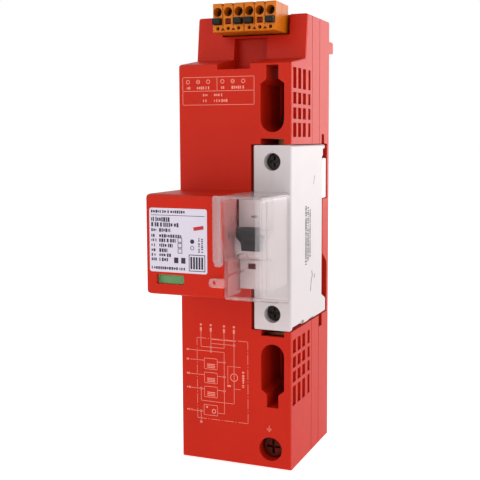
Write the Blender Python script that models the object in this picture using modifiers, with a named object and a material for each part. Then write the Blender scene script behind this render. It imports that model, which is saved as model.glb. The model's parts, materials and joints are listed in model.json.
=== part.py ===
"""Busbar surge arrester with a built-in circuit breaker.

A three-module insulating housing holds four surge gaps that press on four flat busbars. A
one-module circuit breaker sits in a bay on the right and feeds two three-pole plugs on top.

Sizes are millimetres in the housing's own coordinates: X from the left side, Y from the main
front face towards the busbars, Z from the foot. point() turns them into the part's frame, whose
origin is the middle of the foot, in metres.
"""

import math

import bmesh
import bpy
from mathutils import Matrix, Vector

MM = 0.001

# Housing
MODULE = 18.0
WIDTH = 3 * MODULE
HEIGHT = 204.2
DEPTH = 54.8
WALL = 2.0
SEAM_Y = 28.4
SEAM_GAP = 0.4
LEDGE_Z = 181.0
LEDGE_RISE = 3.2
LEDGE_DEPTH = 18.8
UPPER_LEAN = 2.5
HOUSING_ROUND = 1.0
MIDDLE_Z = 104.0
CLEAR = 0.3
PAST = 1.0

# Nose of the housing, with the status window
NOSE_WIDTH = 2 * MODULE
NOSE_REACH = 31.8
NOSE_HEIGHT = 42.7
NOSE_LOW_Z = 82.5
NOSE_ROUND = 1.6
WINDOW_X = 5.2
WINDOW_WIDTH = 12.8
WINDOW_Z = 87.3
WINDOW_HEIGHT = 4.0
WINDOW_SINK = 0.8
LENS_THICK = 1.0
FLAG_MARGIN = 1.0
FLAG_THICK = 1.0
FLAG_HEIGHT = 7.4
SNAP_RECESS = (9.0, 6.5, 0.8)
SNAP_FROM_FRONT = 1.6
SNAP_FROM_MIDDLE = 5.5

# Blind slots in the cover's right side: columns by depth, rows by distance from the middle
GRILLE_COLUMNS = ((2.4, 6.7), (8.9, 13.0), (15.2, 19.4), (22.7, 25.8))
GRILLE_ROWS = ((44.9, 51.1), (52.7, 57.7), (59.3, 64.3), (66.0, 75.0))
GRILLE_SINK = 1.2

# Screws that hold the cover and the base together
BOSS_RADIUS = 3.6
BOSS_FROM_LEFT = 4.4
BOSS_FROM_BAY = 2.4
BOSS_FROM_RIGHT = 5.5
BOSS_FROM_TOP = 14.2
BOSS_LOW_Z = 8.0
SCREW_RADIUS = 1.4
SCREW_HEAD = 2.7
SCREW_HEAD_THICK = 2.0
SCREW_POINT = 2.0
SCREW_LENGTH = 30.0
SCREW_SINK = 2.4

# Busbars behind the housing
BAR_PITCH = 40.0
BAR_HEIGHT = 12.0
BAR_THICK = 10.0
BAR_POLES = ("l1", "l2", "l3", "n")
SEAT_RIB = 2.0
SEAT_CLEAR = 0.4
SEAT_LENGTH = 36.0
STOP_TAB_WIDTH = 8.0
STOP_TAB_REACH = 5.2
STOP_TAB_Z = (189.2, 194.7)

# Surge gaps and their copper
GAP_RADIUS = 13.5
GAP_FRONT_Y = 6.0
GAP_BACK_Y = 46.0
GAP_GROOVE = 1.4
CONTACT_WIDTH = 13.0
CONTACT_THICK = 1.0
CONTACT_BOW = 0.7
CONTACT_REACH_Z = 8.0
CONTACT_SPRING = 2.5
NEUTRAL_CONTACT_HALF = 3.0
LINK_THICK = 1.5
LINK_WIDTH = 12.0
LEAD_THICK = 1.2
LEAD_WIDTH = 6.0
WIRE_RADIUS = 1.1

# Keyholes and locking slides
KEYHOLE_WIDE = 11.0
KEYHOLE_NARROW = 5.6
KEYHOLE_WIDE_HEIGHT = 21.0
KEYHOLE_NARROW_HEIGHT = 6.0
KEYHOLE_TAPER = 2.0
KEYHOLE_X = 45.3
KEYHOLE_OUTER = 75.9
SHAFT_WALL = 1.5
SHAFT_DEPTH = 26.0
SLIDE_WIDTH = 8.4
SLIDE_THICK = 3.0
SLIDE_LENGTH = 24.0
SLIDE_TRAVEL = 6.5
SLIDE_GRIP = 5.0
SLIDE_HOOK = 4.0
SLIDE_TIP = 2.7
SLIDE_BITE = 3.0
SLIDE_END = 2.0
SLIDE_GRIP_REACH = 8.0
GUIDE_FRONT_Y = 33.3
GUIDE_HALF = 7.2

# Breaker and its bay
BREAKER_WIDTH = 17.7
BREAKER_LOW_Z = 63.5
BREAKER_HEIGHT = 81.8
BREAKER_BACK_Y = 44.0
BREAKER_HEEL_Y = 49.9
BREAKER_WALL = 1.2
BREAKER_ROUND = 0.6
HALF_GAP = 0.2
BREAKER_NOSE_REACH = 16.0
BREAKER_NOSE_WIDTH = 15.7
BREAKER_NOSE_LOW_Z = 84.6
BREAKER_NOSE_HIGH_Z = 123.2
DOME_RADIUS = 6.6
DOME_Y = -14.9
DOME_Z = 103.5
BAY_CLEAR = 0.4
BAY_WALL = 1.5
BAY_BACK_Y = 51.2
RIB_FRONT_Y = 44.4
RIB_LOW_Z = 93.0
RIB_HIGH_Z = 119.2
NOTCH_WIDTH = 11.0
CABLE_WAY = 8.0
CATCH_HIGH_Z = 138.9

# Breaker mechanism
BARREL_RADIUS = 5.3
TOGGLE_WIDTH = 7.2
TOGGLE_LEFT_X = 41.8
TOGGLE_TIP_LEFT = 2.5
TOGGLE_SLOT_CLEAR = 0.3
INDICATOR_X = 40.2
INDICATOR_WIDTH = 3.8
INDICATOR_Z = 93.0
INDICATOR_HEIGHT = 2.5
INDICATOR_TRAVEL = 3.2

# Clamps: shaft diameter, screw height and the cage that the screw draws up
UPPER_CLAMP_Z = 138.1
LOWER_CLAMP_Z = 70.7
BREAKER_CLAMP_X = 45.2
BREAKER_SHAFT = 7.8
BREAKER_SHAFT_DEPTH = 7.0
BREAKER_TONGUE_Y = 15.9
EARTH_CLAMP_X = 44.3
EARTH_CLAMP_Z = 8.9
EARTH_SHAFT = 10.9
EARTH_SHAFT_DEPTH = 8.4
EARTH_TONGUE_Y = 15.6
EARTH_STRAP_Z = 16.5
CAGE_TRAVEL = 3.8
CAGE_JAW = 5.2
CAGE_SHEET = 1.2
THROAT_SHARE = 0.36
HEAD_SHARE = 0.3
CAGE_SHARE = 0.62
SHAFT_STEP = 1.0
DRIVE_SLOT = 0.55

# Clear hood over the breaker's toggle
HOOD_FRONT_Y = -34.5
HOOD_RIGHT_X = 53.7
HOOD_HIGH_Z = 125.2
HOOD_LOW_Z = 83.0
HOOD_HEEL_Z = 75.8
HOOD_WALL = 1.2
HOOD_ROUND = 2.4
HOOD_FLANGE_X = 32.6
HOOD_STEP_X = 37.6
HOOD_STEP_Z = 98.0
EYELET_X = 30.7
EYELET_Z = 87.6
EYELET_HEIGHT = 3.7
EYELET_HOLE = 0.9
EYELET_HOLE_X = 2.2
STEP_DEPTH = 14.0

# Plugs on top
POLE_PITCH = 5.08
POLES = 3
PLUG_LEFT_X = 13.5
PLUG_FRONT_Y = 7.8
PLUG_SHOULDER_Y = 15.5
PLUG_BACK_Y = 23.8
PLUG_LOW_Z = 195.6
PLUG_HIGH_Z = 208.3
PLUG_LIP = 1.3
HEADER_BACK = 1.4
PLUG_GAP = 0.2
WIRE_HOLE = 4.1
WIRE_HOLE_Z = 204.5
BUTTON_Z = 200.3
BUTTON_WIDTH = 3.9
BUTTON_HEIGHT = 2.7
BUTTON_PROUD = 2.4
BUTTON_TRAVEL = 1.5
BUTTON_SINK = 4.6
BUTTON_CLEAR = 0.15
TEST_HOLE = 1.7
TEST_HOLE_Z = 197.2
PIN = 1.0
PIN_Z = 202.0
PIN_LENGTH = 6.0
RECESS_RIGHT = 1.9
RECESS_LEFT = 0.8
BOARD_Y = 30.5
BOARD_THICK = 1.6
MONITOR_Y = -5.0

# Scoop and wire channel under the plugs
CHANNEL_X = (19.0, 35.2)
CHANNEL_LOW_Z = 183.5
CHANNEL_BACK_Y = 24.0
CHANNEL_OPEN = 4.0
SCOOP_RADIUS = 4.8
SCOOP_RISE = 2.2
SCOOP_IN = 0.3

# Worked out from the sizes above
COVER_BACK_Y = SEAM_Y - SEAM_GAP / 2
BASE_FRONT_Y = SEAM_Y + SEAM_GAP / 2
UPPER_Z = LEDGE_Z + LEDGE_RISE
UPPER_TOP_Y = LEDGE_DEPTH + UPPER_LEAN
NOSE_HIGH_Z = NOSE_LOW_Z + NOSE_HEIGHT
BREAKER_X = WIDTH - BREAKER_WIDTH
BREAKER_HIGH_Z = BREAKER_LOW_Z + BREAKER_HEIGHT
BAY_X = BREAKER_X - 1.1
BAY_LOW_Z = BREAKER_LOW_Z - BAY_CLEAR
BAY_HIGH_Z = BREAKER_HIGH_Z + BAY_CLEAR
BASE_WALL_Y = DEPTH - WALL
GAP_X = WALL + CLEAR + GAP_RADIUS
PLUG_WIDTH = POLES * POLE_PITCH
MIDDLE_X = BREAKER_X + BREAKER_WIDTH / 2
TOGGLE_X = TOGGLE_LEFT_X + TOGGLE_WIDTH / 2
CONNECTOR_FLOOR_Z = PLUG_LOW_Z - 0.7
CONNECTOR_BACK_Y = PLUG_BACK_Y + CLEAR
CHANNEL_Z = (CHANNEL_LOW_Z, CONNECTOR_FLOOR_Z - WALL / 2)
CABLE_DEPTH = (BREAKER_TONGUE_Y - 1.0, BREAKER_TONGUE_Y - 1.0 + CABLE_WAY)
STOP_DEPTH = (DEPTH - 3.0, DEPTH + STOP_TAB_REACH)


def bar_z(pole):
    """Height of the middle of the busbar that serves this pole."""
    return MIDDLE_Z + (1.5 - BAR_POLES.index(pole)) * BAR_PITCH


def point(x, y, z):
    """The place in the part's frame, in metres."""
    return Vector((x - WIDTH / 2, y - DEPTH / 2, z)) * MM


bpy.context.scene.unit_settings.system = "METRIC"
for stale in list(bpy.data.objects):
    bpy.data.objects.remove(stale, do_unlink=True)
ARRESTER = bpy.data.collections.new("surge_arrester")
CUTTERS = bpy.data.collections.new("cutters")
bpy.context.scene.collection.children.link(ARRESTER)
bpy.context.scene.collection.children.link(CUTTERS)
CUTTERS.hide_render = True


def finish(name, colour, roughness, metallic=0.0, transmission=0.0):
    """A Principled material."""
    material = bpy.data.materials.new(name)
    material.use_nodes = True
    shader = material.node_tree.nodes["Principled BSDF"]
    shader.inputs["Base Color"].default_value = (*colour, 1.0)
    shader.inputs["Roughness"].default_value = roughness
    shader.inputs["Metallic"].default_value = metallic
    shader.inputs["Transmission Weight"].default_value = transmission
    return material


RED = finish("red_housing_plastic", (0.52, 0.025, 0.03), 0.45)
GREY = finish("light_grey_breaker_plastic", (0.6, 0.58, 0.58), 0.4)
DARK = finish("dark_toggle_plastic", (0.05, 0.045, 0.05), 0.45)
WHITE = finish("white_catch_plastic", (0.8, 0.8, 0.79), 0.5)
SIGNAL_RED = finish("red_indicator_plastic", (0.35, 0.02, 0.05), 0.4)
GREEN = finish("green_flag_plastic", (0.06, 0.3, 0.09), 0.4)
CLEAR_PLASTIC = finish("clear_polycarbonate", (0.95, 0.93, 0.93), 0.08, 0.0, 0.9)
ORANGE = finish("orange_plug_plastic", (0.65, 0.2, 0.03), 0.45)
BLACK = finish("black_button_plastic", (0.02, 0.02, 0.02), 0.4)
COPPER = finish("copper_strip", (0.75, 0.35, 0.2), 0.35, 1.0)
STEEL = finish("zinc_plated_steel", (0.6, 0.6, 0.58), 0.35, 1.0)
BOARD = finish("circuit_board", (0.03, 0.2, 0.08), 0.5)
CERAMIC = finish("surge_gap_moulding", (0.16, 0.15, 0.14), 0.55)
WIRE = finish("wire_insulation", (0.03, 0.06, 0.3), 0.5)


def add_object(name, mesh, group=None):
    """A new object, in the arrester unless it is a cutter."""
    shape = bpy.data.objects.new(name, mesh)
    (group or ARRESTER).objects.link(shape)
    return shape


def from_bmesh(name, shape, group=None):
    """A new object with its faces turned outwards."""
    bmesh.ops.recalc_face_normals(shape, faces=shape.faces)
    mesh = bpy.data.meshes.new(name)
    shape.to_mesh(mesh)
    shape.free()
    return add_object(name, mesh, group)


def block(name, xs, ys, zs):
    """A box between two values on each axis."""
    low = point(xs[0], ys[0], zs[0])
    high = point(xs[1], ys[1], zs[1])
    size = Matrix.Diagonal((*(high - low), 1.0))
    shape = bmesh.new()
    bmesh.ops.create_cube(shape, size=1.0, matrix=Matrix.Translation((low + high) / 2) @ size)
    return from_bmesh(name, shape)


TURNS = {
    "X": Matrix(((0, 0, 1, 0), (1, 0, 0, 0), (0, 1, 0, 0), (0, 0, 0, 1))),
    "Y": Matrix(((1, 0, 0, 0), (0, 0, 1, 0), (0, 1, 0, 0), (0, 0, 0, 1))),
    "Z": Matrix.Identity(4),
}


def slab(name, axis, span, outline, holes=()):
    """A flat outline, with holes, drawn out along one axis between two values.

    The outline's two numbers are the other axes in X, Y, Z order.
    """
    curve = bpy.data.curves.new(name, "CURVE")
    curve.dimensions = "2D"
    curve.fill_mode = "BOTH"
    curve.extrude = abs(span[1] - span[0]) / 2 * MM
    for loop in (outline, *holes):
        spline = curve.splines.new("POLY")
        spline.points.add(len(loop) - 1)
        for place, (u, v) in zip(spline.points, loop):
            place.co = (u * MM, v * MM, 0.0, 1.0)
        spline.use_cyclic_u = True
    drawn = add_object(name + "_outline", curve)
    bpy.context.view_layer.update()
    graph = bpy.context.evaluated_depsgraph_get()
    mesh = bpy.data.meshes.new_from_object(drawn.evaluated_get(graph))
    bpy.data.objects.remove(drawn, do_unlink=True)
    middle = {"X": 0, "Y": 1, "Z": 2}[axis]
    shift = point(0, 0, 0)
    shift[middle] += (span[0] + span[1]) / 2 * MM
    mesh.transform(Matrix.Translation(shift) @ TURNS[axis])
    shape = bmesh.new()
    shape.from_mesh(mesh)
    bpy.data.meshes.remove(mesh)
    bmesh.ops.remove_doubles(shape, verts=shape.verts, dist=1e-6)
    return from_bmesh(name, shape)


def rod(name, axis, span, middle, radius, sides=24):
    """A cylinder along one axis; middle gives the other two axes in X, Y, Z order."""
    turn = 2 * math.pi / sides
    circle = [
        (middle[0] + radius * math.cos(turn * k), middle[1] + radius * math.sin(turn * k))
        for k in range(sides)
    ]
    shape = slab(name, axis, span, circle)
    smooth(shape)
    return shape


def turned(name, place, profile, sides=20):
    """A piece turned about a line along Y: profile is (radius, depth) from its front end to its back."""
    mesh = bpy.data.meshes.new(name)
    points = [(radius * MM, 0.0, -depth * MM) for radius, depth in profile]
    mesh.from_pydata(points, [(k, k + 1) for k in range(len(points) - 1)], [])
    shape = add_object(name, mesh)
    screw = shape.modifiers.new("turned", "SCREW")
    screw.axis = "Z"
    screw.steps = sides
    screw.render_steps = sides
    screw.use_merge_vertices = True
    screw.merge_threshold = 1e-5
    screw.use_smooth_shade = True
    shape.location = point(*place)
    shape.rotation_euler = (math.pi / 2, 0.0, 0.0)
    return shape


def arc(u, v, radius, start, end, steps=6):
    """Points on an arc, angles in degrees."""
    angles = [math.radians(start + (end - start) * k / steps) for k in range(steps + 1)]
    return [(u + radius * math.cos(a), v + radius * math.sin(a)) for a in angles]


def rounded(us, vs, radius, steps=4):
    """A rectangle's outline with rounded corners."""
    corners = ((us[1], vs[1], 0), (us[0], vs[1], 90), (us[0], vs[0], 180), (us[1], vs[0], 270))
    outline = []
    for u, v, start in corners:
        inner_u = u - math.copysign(radius, u - sum(us) / 2)
        inner_v = v - math.copysign(radius, v - sum(vs) / 2)
        outline += arc(inner_u, inner_v, radius, start, start + 90, steps)
    return outline


def ribbon(path, thick):
    """The outline of a strip of even thickness whose left side follows the path."""
    line = [Vector(p) for p in path]
    inner = []
    for k, here in enumerate(line):
        before = (here - line[k - 1]).normalized() if k else None
        after = (line[k + 1] - here).normalized() if k + 1 < len(line) else None
        along = (before or after) + (after or before)
        side = Vector((along.y, -along.x)).normalized()
        straight = before or after
        stretch = side.dot(Vector((straight.y, -straight.x)))
        inner.append(here + side * thick / stretch)
    return [tuple(p) for p in line] + [tuple(p) for p in reversed(inner)]


def smooth(shape, angle=35):
    """Smooth shading with sharp corners kept."""
    shape.data.shade_smooth()
    shape.data.set_sharp_from_angle(angle=math.radians(angle))


def round_edges(shape, width, chosen, segments=2):
    """Rounds the edges whose two ends, in housing millimetres, pass the test."""
    mesh = bmesh.new()
    mesh.from_mesh(shape.data)
    shift = point(0, 0, 0)
    edges = [
        edge
        for edge in mesh.edges
        if chosen(*((vert.co - shift) / MM for vert in edge.verts))
        and edge.calc_face_angle(0.0) > math.radians(15)
    ]
    bmesh.ops.bevel(
        mesh, geom=edges, offset=width * MM, segments=segments, profile=0.5, affect="EDGES"
    )
    mesh.to_mesh(shape.data)
    mesh.free()


def near(value, target):
    """Whether two coordinates are the same."""
    return abs(value - target) < 0.01


def combine(shape, operation, others):
    """One Boolean between a shape and all of the others, which become hidden helpers."""
    helpers = bpy.data.collections.new(shape.name + "_" + operation.lower())
    CUTTERS.children.link(helpers)
    for other in others:
        for group in list(other.users_collection):
            group.objects.unlink(other)
        helpers.objects.link(other)
        other.hide_render = True
        other.display_type = "WIRE"
    boolean = shape.modifiers.new(operation.lower(), "BOOLEAN")
    boolean.operation = operation
    boolean.operand_type = "COLLECTION"
    boolean.collection = helpers
    boolean.solver = "EXACT"
    return shape


def cut(shape, *others):
    """The shape less the others."""
    return combine(shape, "DIFFERENCE", others)


def join(shape, *others):
    """The shape with the others made part of it."""
    return combine(shape, "UNION", others)


def bake(shape):
    """Makes the result of the modifiers the mesh of the shape."""
    bpy.context.view_layer.update()
    graph = bpy.context.evaluated_depsgraph_get()
    mesh = bpy.data.meshes.new_from_object(shape.evaluated_get(graph))
    shape.modifiers.clear()
    shape.data = mesh
    return shape


def hang_on(shape, x, y, z):
    """Puts the origin of a moving piece on its joint."""
    place = point(x, y, z)
    shape.data.transform(Matrix.Translation(-place))
    shape.location = place


def dress(shape, material):
    """Gives the piece its one finish."""
    shape.data.materials.clear()
    shape.data.materials.append(material)
    return shape


# Outlines that more than one piece shares


def housing_outline(inset, back_y):
    """The cover's side view, drawn in by a wall."""
    return [
        (inset, inset),
        (inset, LEDGE_Z - inset),
        (LEDGE_DEPTH + inset, UPPER_Z - inset),
        (UPPER_TOP_Y + inset, HEIGHT - inset),
        (back_y, HEIGHT - inset),
        (back_y, inset),
    ]


def keyhole_outline(sign, grow=0.0):
    """A keyhole in the front, wide towards the middle of the housing and narrow away from it."""
    wide = KEYHOLE_WIDE / 2 + grow
    narrow = KEYHOLE_NARROW / 2 + grow
    outer = KEYHOLE_OUTER + grow
    neck = KEYHOLE_OUTER - KEYHOLE_NARROW_HEIGHT
    shoulder = neck - KEYHOLE_TAPER
    inner = shoulder - KEYHOLE_WIDE_HEIGHT
    half = [(narrow, outer), (narrow, neck), (wide, shoulder)]
    bottom = arc(0, inner + KEYHOLE_WIDE / 2, wide, 0, -180, 10)
    outline = half + bottom + [(-u, v) for u, v in reversed(half)]
    return [(KEYHOLE_X + u, MIDDLE_Z + sign * v) for u, v in outline]


def shaft_zs(sign):
    """Heights between which a keyhole's walls stand."""
    outer = KEYHOLE_OUTER + SHAFT_WALL
    inner = KEYHOLE_OUTER - KEYHOLE_NARROW_HEIGHT - KEYHOLE_TAPER - KEYHOLE_WIDE_HEIGHT - SHAFT_WALL
    return sorted((MIDDLE_Z + sign * inner, MIDDLE_Z + sign * outer))


def fixing_places():
    """Where the housing screws stand, as (x, z)."""
    left = WALL + BOSS_FROM_LEFT
    high = HEIGHT - BOSS_FROM_TOP
    return {
        "lower_left": (left, BOSS_LOW_Z),
        "lower_right": (BAY_X - BOSS_FROM_BAY, BOSS_LOW_Z),
        "upper_left": (left, high),
        "upper_right": (WIDTH - BOSS_FROM_RIGHT, high),
    }


def clamp_block(prefix, x, z, shaft, depth):
    """The walls round a clamp screw's shaft."""
    half = shaft / 2 + SHAFT_WALL
    return block(prefix + "_shaft_walls", (x - half, x + half), (-PAST, depth), (z - half, z + half))


def clamp_shaft(prefix, x, z, shaft, depth):
    """The screw's shaft, open at the front, with a narrower throat at its bottom."""
    throat = rod(prefix + "_throat", "Y", (0, depth + PAST), (x, z), shaft * THROAT_SHARE)
    return rod(prefix + "_shaft", "Y", (-PAST, depth - SHAFT_STEP), (x, z), shaft / 2, 32), throat


def grille_slots():
    """The blind slots moulded in the cover's right side, above and below the breaker."""
    slots = []
    for sign in (1, -1):
        for low, high in GRILLE_ROWS:
            for front, back in GRILLE_COLUMNS:
                zs = sorted((MIDDLE_Z + sign * low, MIDDLE_Z + sign * high))
                slots.append(block("slot", (WIDTH - GRILLE_SINK, WIDTH + PAST), (front, back), zs))
    return slots


def front_cover():
    """The cover: a hollow shell with the nose, the breaker's bay, shafts and the plugs' recess."""
    cover = slab("front_cover", "X", (0, WIDTH), housing_outline(0, COVER_BACK_Y))

    def outside(a, b):
        flank = (near(a.x, 0) and near(b.x, 0)) or (near(a.x, WIDTH) and near(b.x, WIDTH))
        at_back = near(a.y, COVER_BACK_Y) and near(b.y, COVER_BACK_Y)
        hollow = near(a.z, UPPER_Z) and near(b.z, UPPER_Z)
        at_foot = near(a.z, 0) and near(b.z, 0) and not near(a.y, b.y)
        return (flank or not near(a.x, b.x)) and not (at_back or hollow or at_foot)

    round_edges(cover, HOUSING_ROUND, outside)
    nose = block("nose", (0, NOSE_WIDTH), (-NOSE_REACH, WALL), (NOSE_LOW_Z, NOSE_HIGH_Z))
    round_edges(nose, NOSE_ROUND, lambda a, b: not (near(a.y, WALL) and near(b.y, WALL)))

    hollow = slab(
        "cover_hollow", "X", (WALL, WIDTH - WALL), housing_outline(WALL, COVER_BACK_Y + PAST)
    )
    nose_hollow = block(
        "nose_hollow",
        (WALL, NOSE_WIDTH - WALL),
        (WALL - NOSE_REACH, WALL + PAST),
        (NOSE_LOW_Z + WALL, NOSE_HIGH_Z - WALL),
    )
    join(hollow, nose_hollow)
    bay_walls = block(
        "bay_walls",
        (BAY_X - BAY_WALL, WIDTH),
        (-PAST, DEPTH),
        (BAY_LOW_Z - WALL, BAY_HIGH_Z + WALL),
    )
    kept = [bay_walls]
    for sign, name in ((1, "upper"), (-1, "lower")):
        half = KEYHOLE_WIDE / 2 + SHAFT_WALL
        kept.append(
            block(
                name + "_keyhole_walls",
                (KEYHOLE_X - half, WIDTH),
                (-PAST, SHAFT_DEPTH),
                shaft_zs(sign),
            )
        )
    kept.append(clamp_block("earth", EARTH_CLAMP_X, EARTH_CLAMP_Z, EARTH_SHAFT, EARTH_SHAFT_DEPTH))
    kept.append(
        block(
            "channel_walls",
            (CHANNEL_X[0] - WALL, CHANNEL_X[1] + WALL),
            (0, CHANNEL_BACK_Y + WALL),
            (CHANNEL_Z[0] - WALL, HEIGHT),
        )
    )
    kept.append(
        block(
            "recess_walls",
            (PLUG_LEFT_X - RECESS_LEFT - WALL, PLUG_LEFT_X + 2 * PLUG_WIDTH + RECESS_RIGHT + WALL),
            (0, COVER_BACK_Y + PAST),
            (CONNECTOR_FLOOR_Z - WALL, HEIGHT),
        )
    )
    for name, (x, z) in fixing_places().items():
        kept.append(rod(name + "_boss", "Y", (0, DEPTH), (x, z), BOSS_RADIUS, 16))
    cut(hollow, *kept)

    join(cover, nose)
    cut(cover, hollow)
    snap_y = SNAP_FROM_FRONT - NOSE_REACH
    snap_z = MIDDLE_Z + SNAP_FROM_MIDDLE
    openings = [
        block("bay", (BAY_X, WIDTH + PAST), (-PAST, DEPTH), (BAY_LOW_Z, BAY_HIGH_Z)),
        block(
            "window",
            (WINDOW_X, WINDOW_X + WINDOW_WIDTH),
            (-NOSE_REACH - PAST, WALL - NOSE_REACH + PAST),
            (WINDOW_Z, WINDOW_Z + WINDOW_HEIGHT),
        ),
        block(
            "snap_recess",
            (NOSE_WIDTH - SNAP_RECESS[2], NOSE_WIDTH + PAST),
            (snap_y, snap_y + SNAP_RECESS[0]),
            (snap_z, snap_z + SNAP_RECESS[1]),
        ),
        block("channel", CHANNEL_X, (LEDGE_DEPTH - CHANNEL_OPEN, CHANNEL_BACK_Y), CHANNEL_Z),
        block(
            "plug_recess",
            (PLUG_LEFT_X - RECESS_LEFT, PLUG_LEFT_X + 2 * PLUG_WIDTH + RECESS_RIGHT),
            (0, CONNECTOR_BACK_Y),
            (CONNECTOR_FLOOR_Z, HEIGHT + PAST),
        ),
        block(
            "header_way",
            (PLUG_LEFT_X - CLEAR, PLUG_LEFT_X + 2 * PLUG_WIDTH + CLEAR),
            (CONNECTOR_BACK_Y - PAST, COVER_BACK_Y + 2 * PAST),
            (CONNECTOR_FLOOR_Z, HEIGHT - WALL),
        ),
        rod(
            "scoop",
            "X",
            (CHANNEL_X[0] + SCOOP_IN, CHANNEL_X[1] - SCOOP_IN),
            (0, LEDGE_Z + SCOOP_RISE),
            SCOOP_RADIUS,
            20,
        ),
        block(
            "earth_cable_way",
            (EARTH_CLAMP_X - CABLE_WAY / 2, EARTH_CLAMP_X + CABLE_WAY / 2),
            (EARTH_TONGUE_Y + LINK_THICK, EARTH_TONGUE_Y + LINK_THICK + CAGE_JAW),
            (-PAST, WALL + PAST),
        ),
    ]
    for sign, name in ((1, "upper"), (-1, "lower")):
        openings.append(
            slab(name + "_keyhole", "Y", (-PAST, SHAFT_DEPTH + PAST), keyhole_outline(sign))
        )
        edge = BAY_HIGH_Z if sign > 0 else BAY_LOW_Z
        zs = sorted((edge - sign * PAST, edge + sign * (WALL + PAST / 2)))
        openings.append(
            block(
                name + "_notch",
                (KEYHOLE_X - NOTCH_WIDTH / 2, KEYHOLE_X + NOTCH_WIDTH / 2),
                (-PAST, CABLE_DEPTH[1]),
                zs,
            )
        )
    openings += clamp_shaft("earth", EARTH_CLAMP_X, EARTH_CLAMP_Z, EARTH_SHAFT, EARTH_SHAFT_DEPTH)
    for name, (x, z) in fixing_places().items():
        openings.append(
            rod(
                name + "_pilot",
                "Y",
                (BASE_WALL_Y - SCREW_LENGTH - PAST, DEPTH),
                (x, z),
                SCREW_RADIUS + CLEAR,
                12,
            )
        )
    cut(cover, *openings, *grille_slots())
    return dress(cover, RED)


def base_bay_outline():
    """Side view of the breaker's bay in the base, with the rib that stands in for a rail."""
    return [
        (0, BAY_LOW_Z),
        (0, BAY_HIGH_Z),
        (BAY_BACK_Y, BAY_HIGH_Z),
        (BAY_BACK_Y, RIB_HIGH_Z),
        (RIB_FRONT_Y, RIB_HIGH_Z),
        (RIB_FRONT_Y, RIB_LOW_Z),
        (BAY_BACK_Y, RIB_LOW_Z - 5.0),
        (BAY_BACK_Y, BAY_LOW_Z),
    ]


def slide_zs(sign):
    """Heights of a locking slide's hook: under it, over it."""
    bar_edge = 1.5 * BAR_PITCH + BAR_HEIGHT / 2
    return MIDDLE_Z + sign * (bar_edge + CLEAR), MIDDLE_Z + sign * (bar_edge + CLEAR + SLIDE_HOOK)


def rear_base():
    """The base: a tray with the breaker's rib, the slides' guides and the busbar seats."""
    base = block("rear_base", (0, WIDTH), (BASE_FRONT_Y, DEPTH), (0, HEIGHT))

    def outside(a, b):
        at_front = near(a.y, BASE_FRONT_Y) and near(b.y, BASE_FRONT_Y)
        at_foot = near(a.z, 0) and near(b.z, 0)
        return not (at_front or at_foot)

    round_edges(base, HOUSING_ROUND, outside)
    hollow = block(
        "base_hollow",
        (WALL, WIDTH - WALL),
        (BASE_FRONT_Y - PAST, BASE_WALL_Y),
        (WALL, HEIGHT - WALL),
    )
    kept = [
        block(
            "base_bay_walls",
            (BAY_X - BAY_WALL, WIDTH),
            (0, DEPTH),
            (BAY_LOW_Z - WALL, BAY_HIGH_Z + WALL),
        )
    ]
    for name, (x, z) in fixing_places().items():
        kept.append(rod(name + "_post", "Y", (0, DEPTH), (x, z), BOSS_RADIUS, 16))
    openings = [slab("base_bay", "X", (BAY_X, WIDTH + PAST), base_bay_outline())]
    for sign, name in ((1, "upper"), (-1, "lower")):
        hook, far = slide_zs(sign)
        kept.append(
            block(
                name + "_guide",
                (KEYHOLE_X - GUIDE_HALF, WIDTH),
                (GUIDE_FRONT_Y, DEPTH),
                sorted((hook - sign * 2 * GUIDE_HALF, far + sign * (SLIDE_TRAVEL + SHAFT_WALL * 2))),
            )
        )
        half = SLIDE_WIDTH / 2 + CLEAR
        openings.append(
            block(
                name + "_hook_slot",
                (KEYHOLE_X - half, KEYHOLE_X + half),
                (0, DEPTH + PAST),
                sorted((hook - sign * CLEAR, far + sign * (SLIDE_TRAVEL + CLEAR))),
            )
        )
    cut(hollow, *kept)
    seats = []
    window = CONTACT_REACH_Z - CONTACT_SPRING + 1.0
    for pole in BAR_POLES:
        half = BAR_HEIGHT / 2 + SEAT_CLEAR
        for sign in (1, -1):
            zs = sorted((bar_z(pole) + sign * half, bar_z(pole) + sign * (half + SEAT_RIB)))
            seats.append(block("seat", (WALL, SEAT_LENGTH), (DEPTH - WALL / 2, DEPTH + SEAT_RIB), zs))
        x, half_width = contact_place(pole)
        openings.append(
            block(
                pole + "_contact_window",
                (x - half_width - CLEAR, x + half_width + CLEAR),
                (BASE_WALL_Y - PAST, DEPTH + PAST),
                (bar_z(pole) - window, bar_z(pole) + window),
            )
        )
    for left in (0.0, WIDTH - STOP_TAB_WIDTH):
        outline = rounded(STOP_DEPTH, STOP_TAB_Z, 1.2)
        seats.append(slab("stop_tab", "X", (left, left + STOP_TAB_WIDTH), outline))
    for name, (x, z) in fixing_places().items():
        openings.append(
            rod(name + "_hole", "Y", (0, DEPTH + PAST), (x, z), SCREW_RADIUS + CLEAR, 12)
        )
        openings.append(
            rod(
                name + "_counterbore",
                "Y",
                (BASE_WALL_Y - SCREW_SINK, DEPTH + PAST),
                (x, z),
                SCREW_HEAD + CLEAR,
                16,
            )
        )
    openings.append(
        block("upper_slot", (WIDTH - WALL - PAST, WIDTH + PAST), (42.5, 46.5), (BAY_HIGH_Z - 1, 150.2))
    )
    openings.append(
        block("lower_slot", (WIDTH - WALL - PAST, WIDTH + PAST), (39.5, 44.0), (57.5, BAY_LOW_Z + 1))
    )
    openings.append(
        block("side_line", (WIDTH - 0.3, WIDTH + PAST), (38.9, 39.3), (-PAST, HEIGHT + PAST))
    )
    join(base, *seats)
    cut(base, hollow)
    cut(base, *openings)
    return dress(base, RED)


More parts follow.
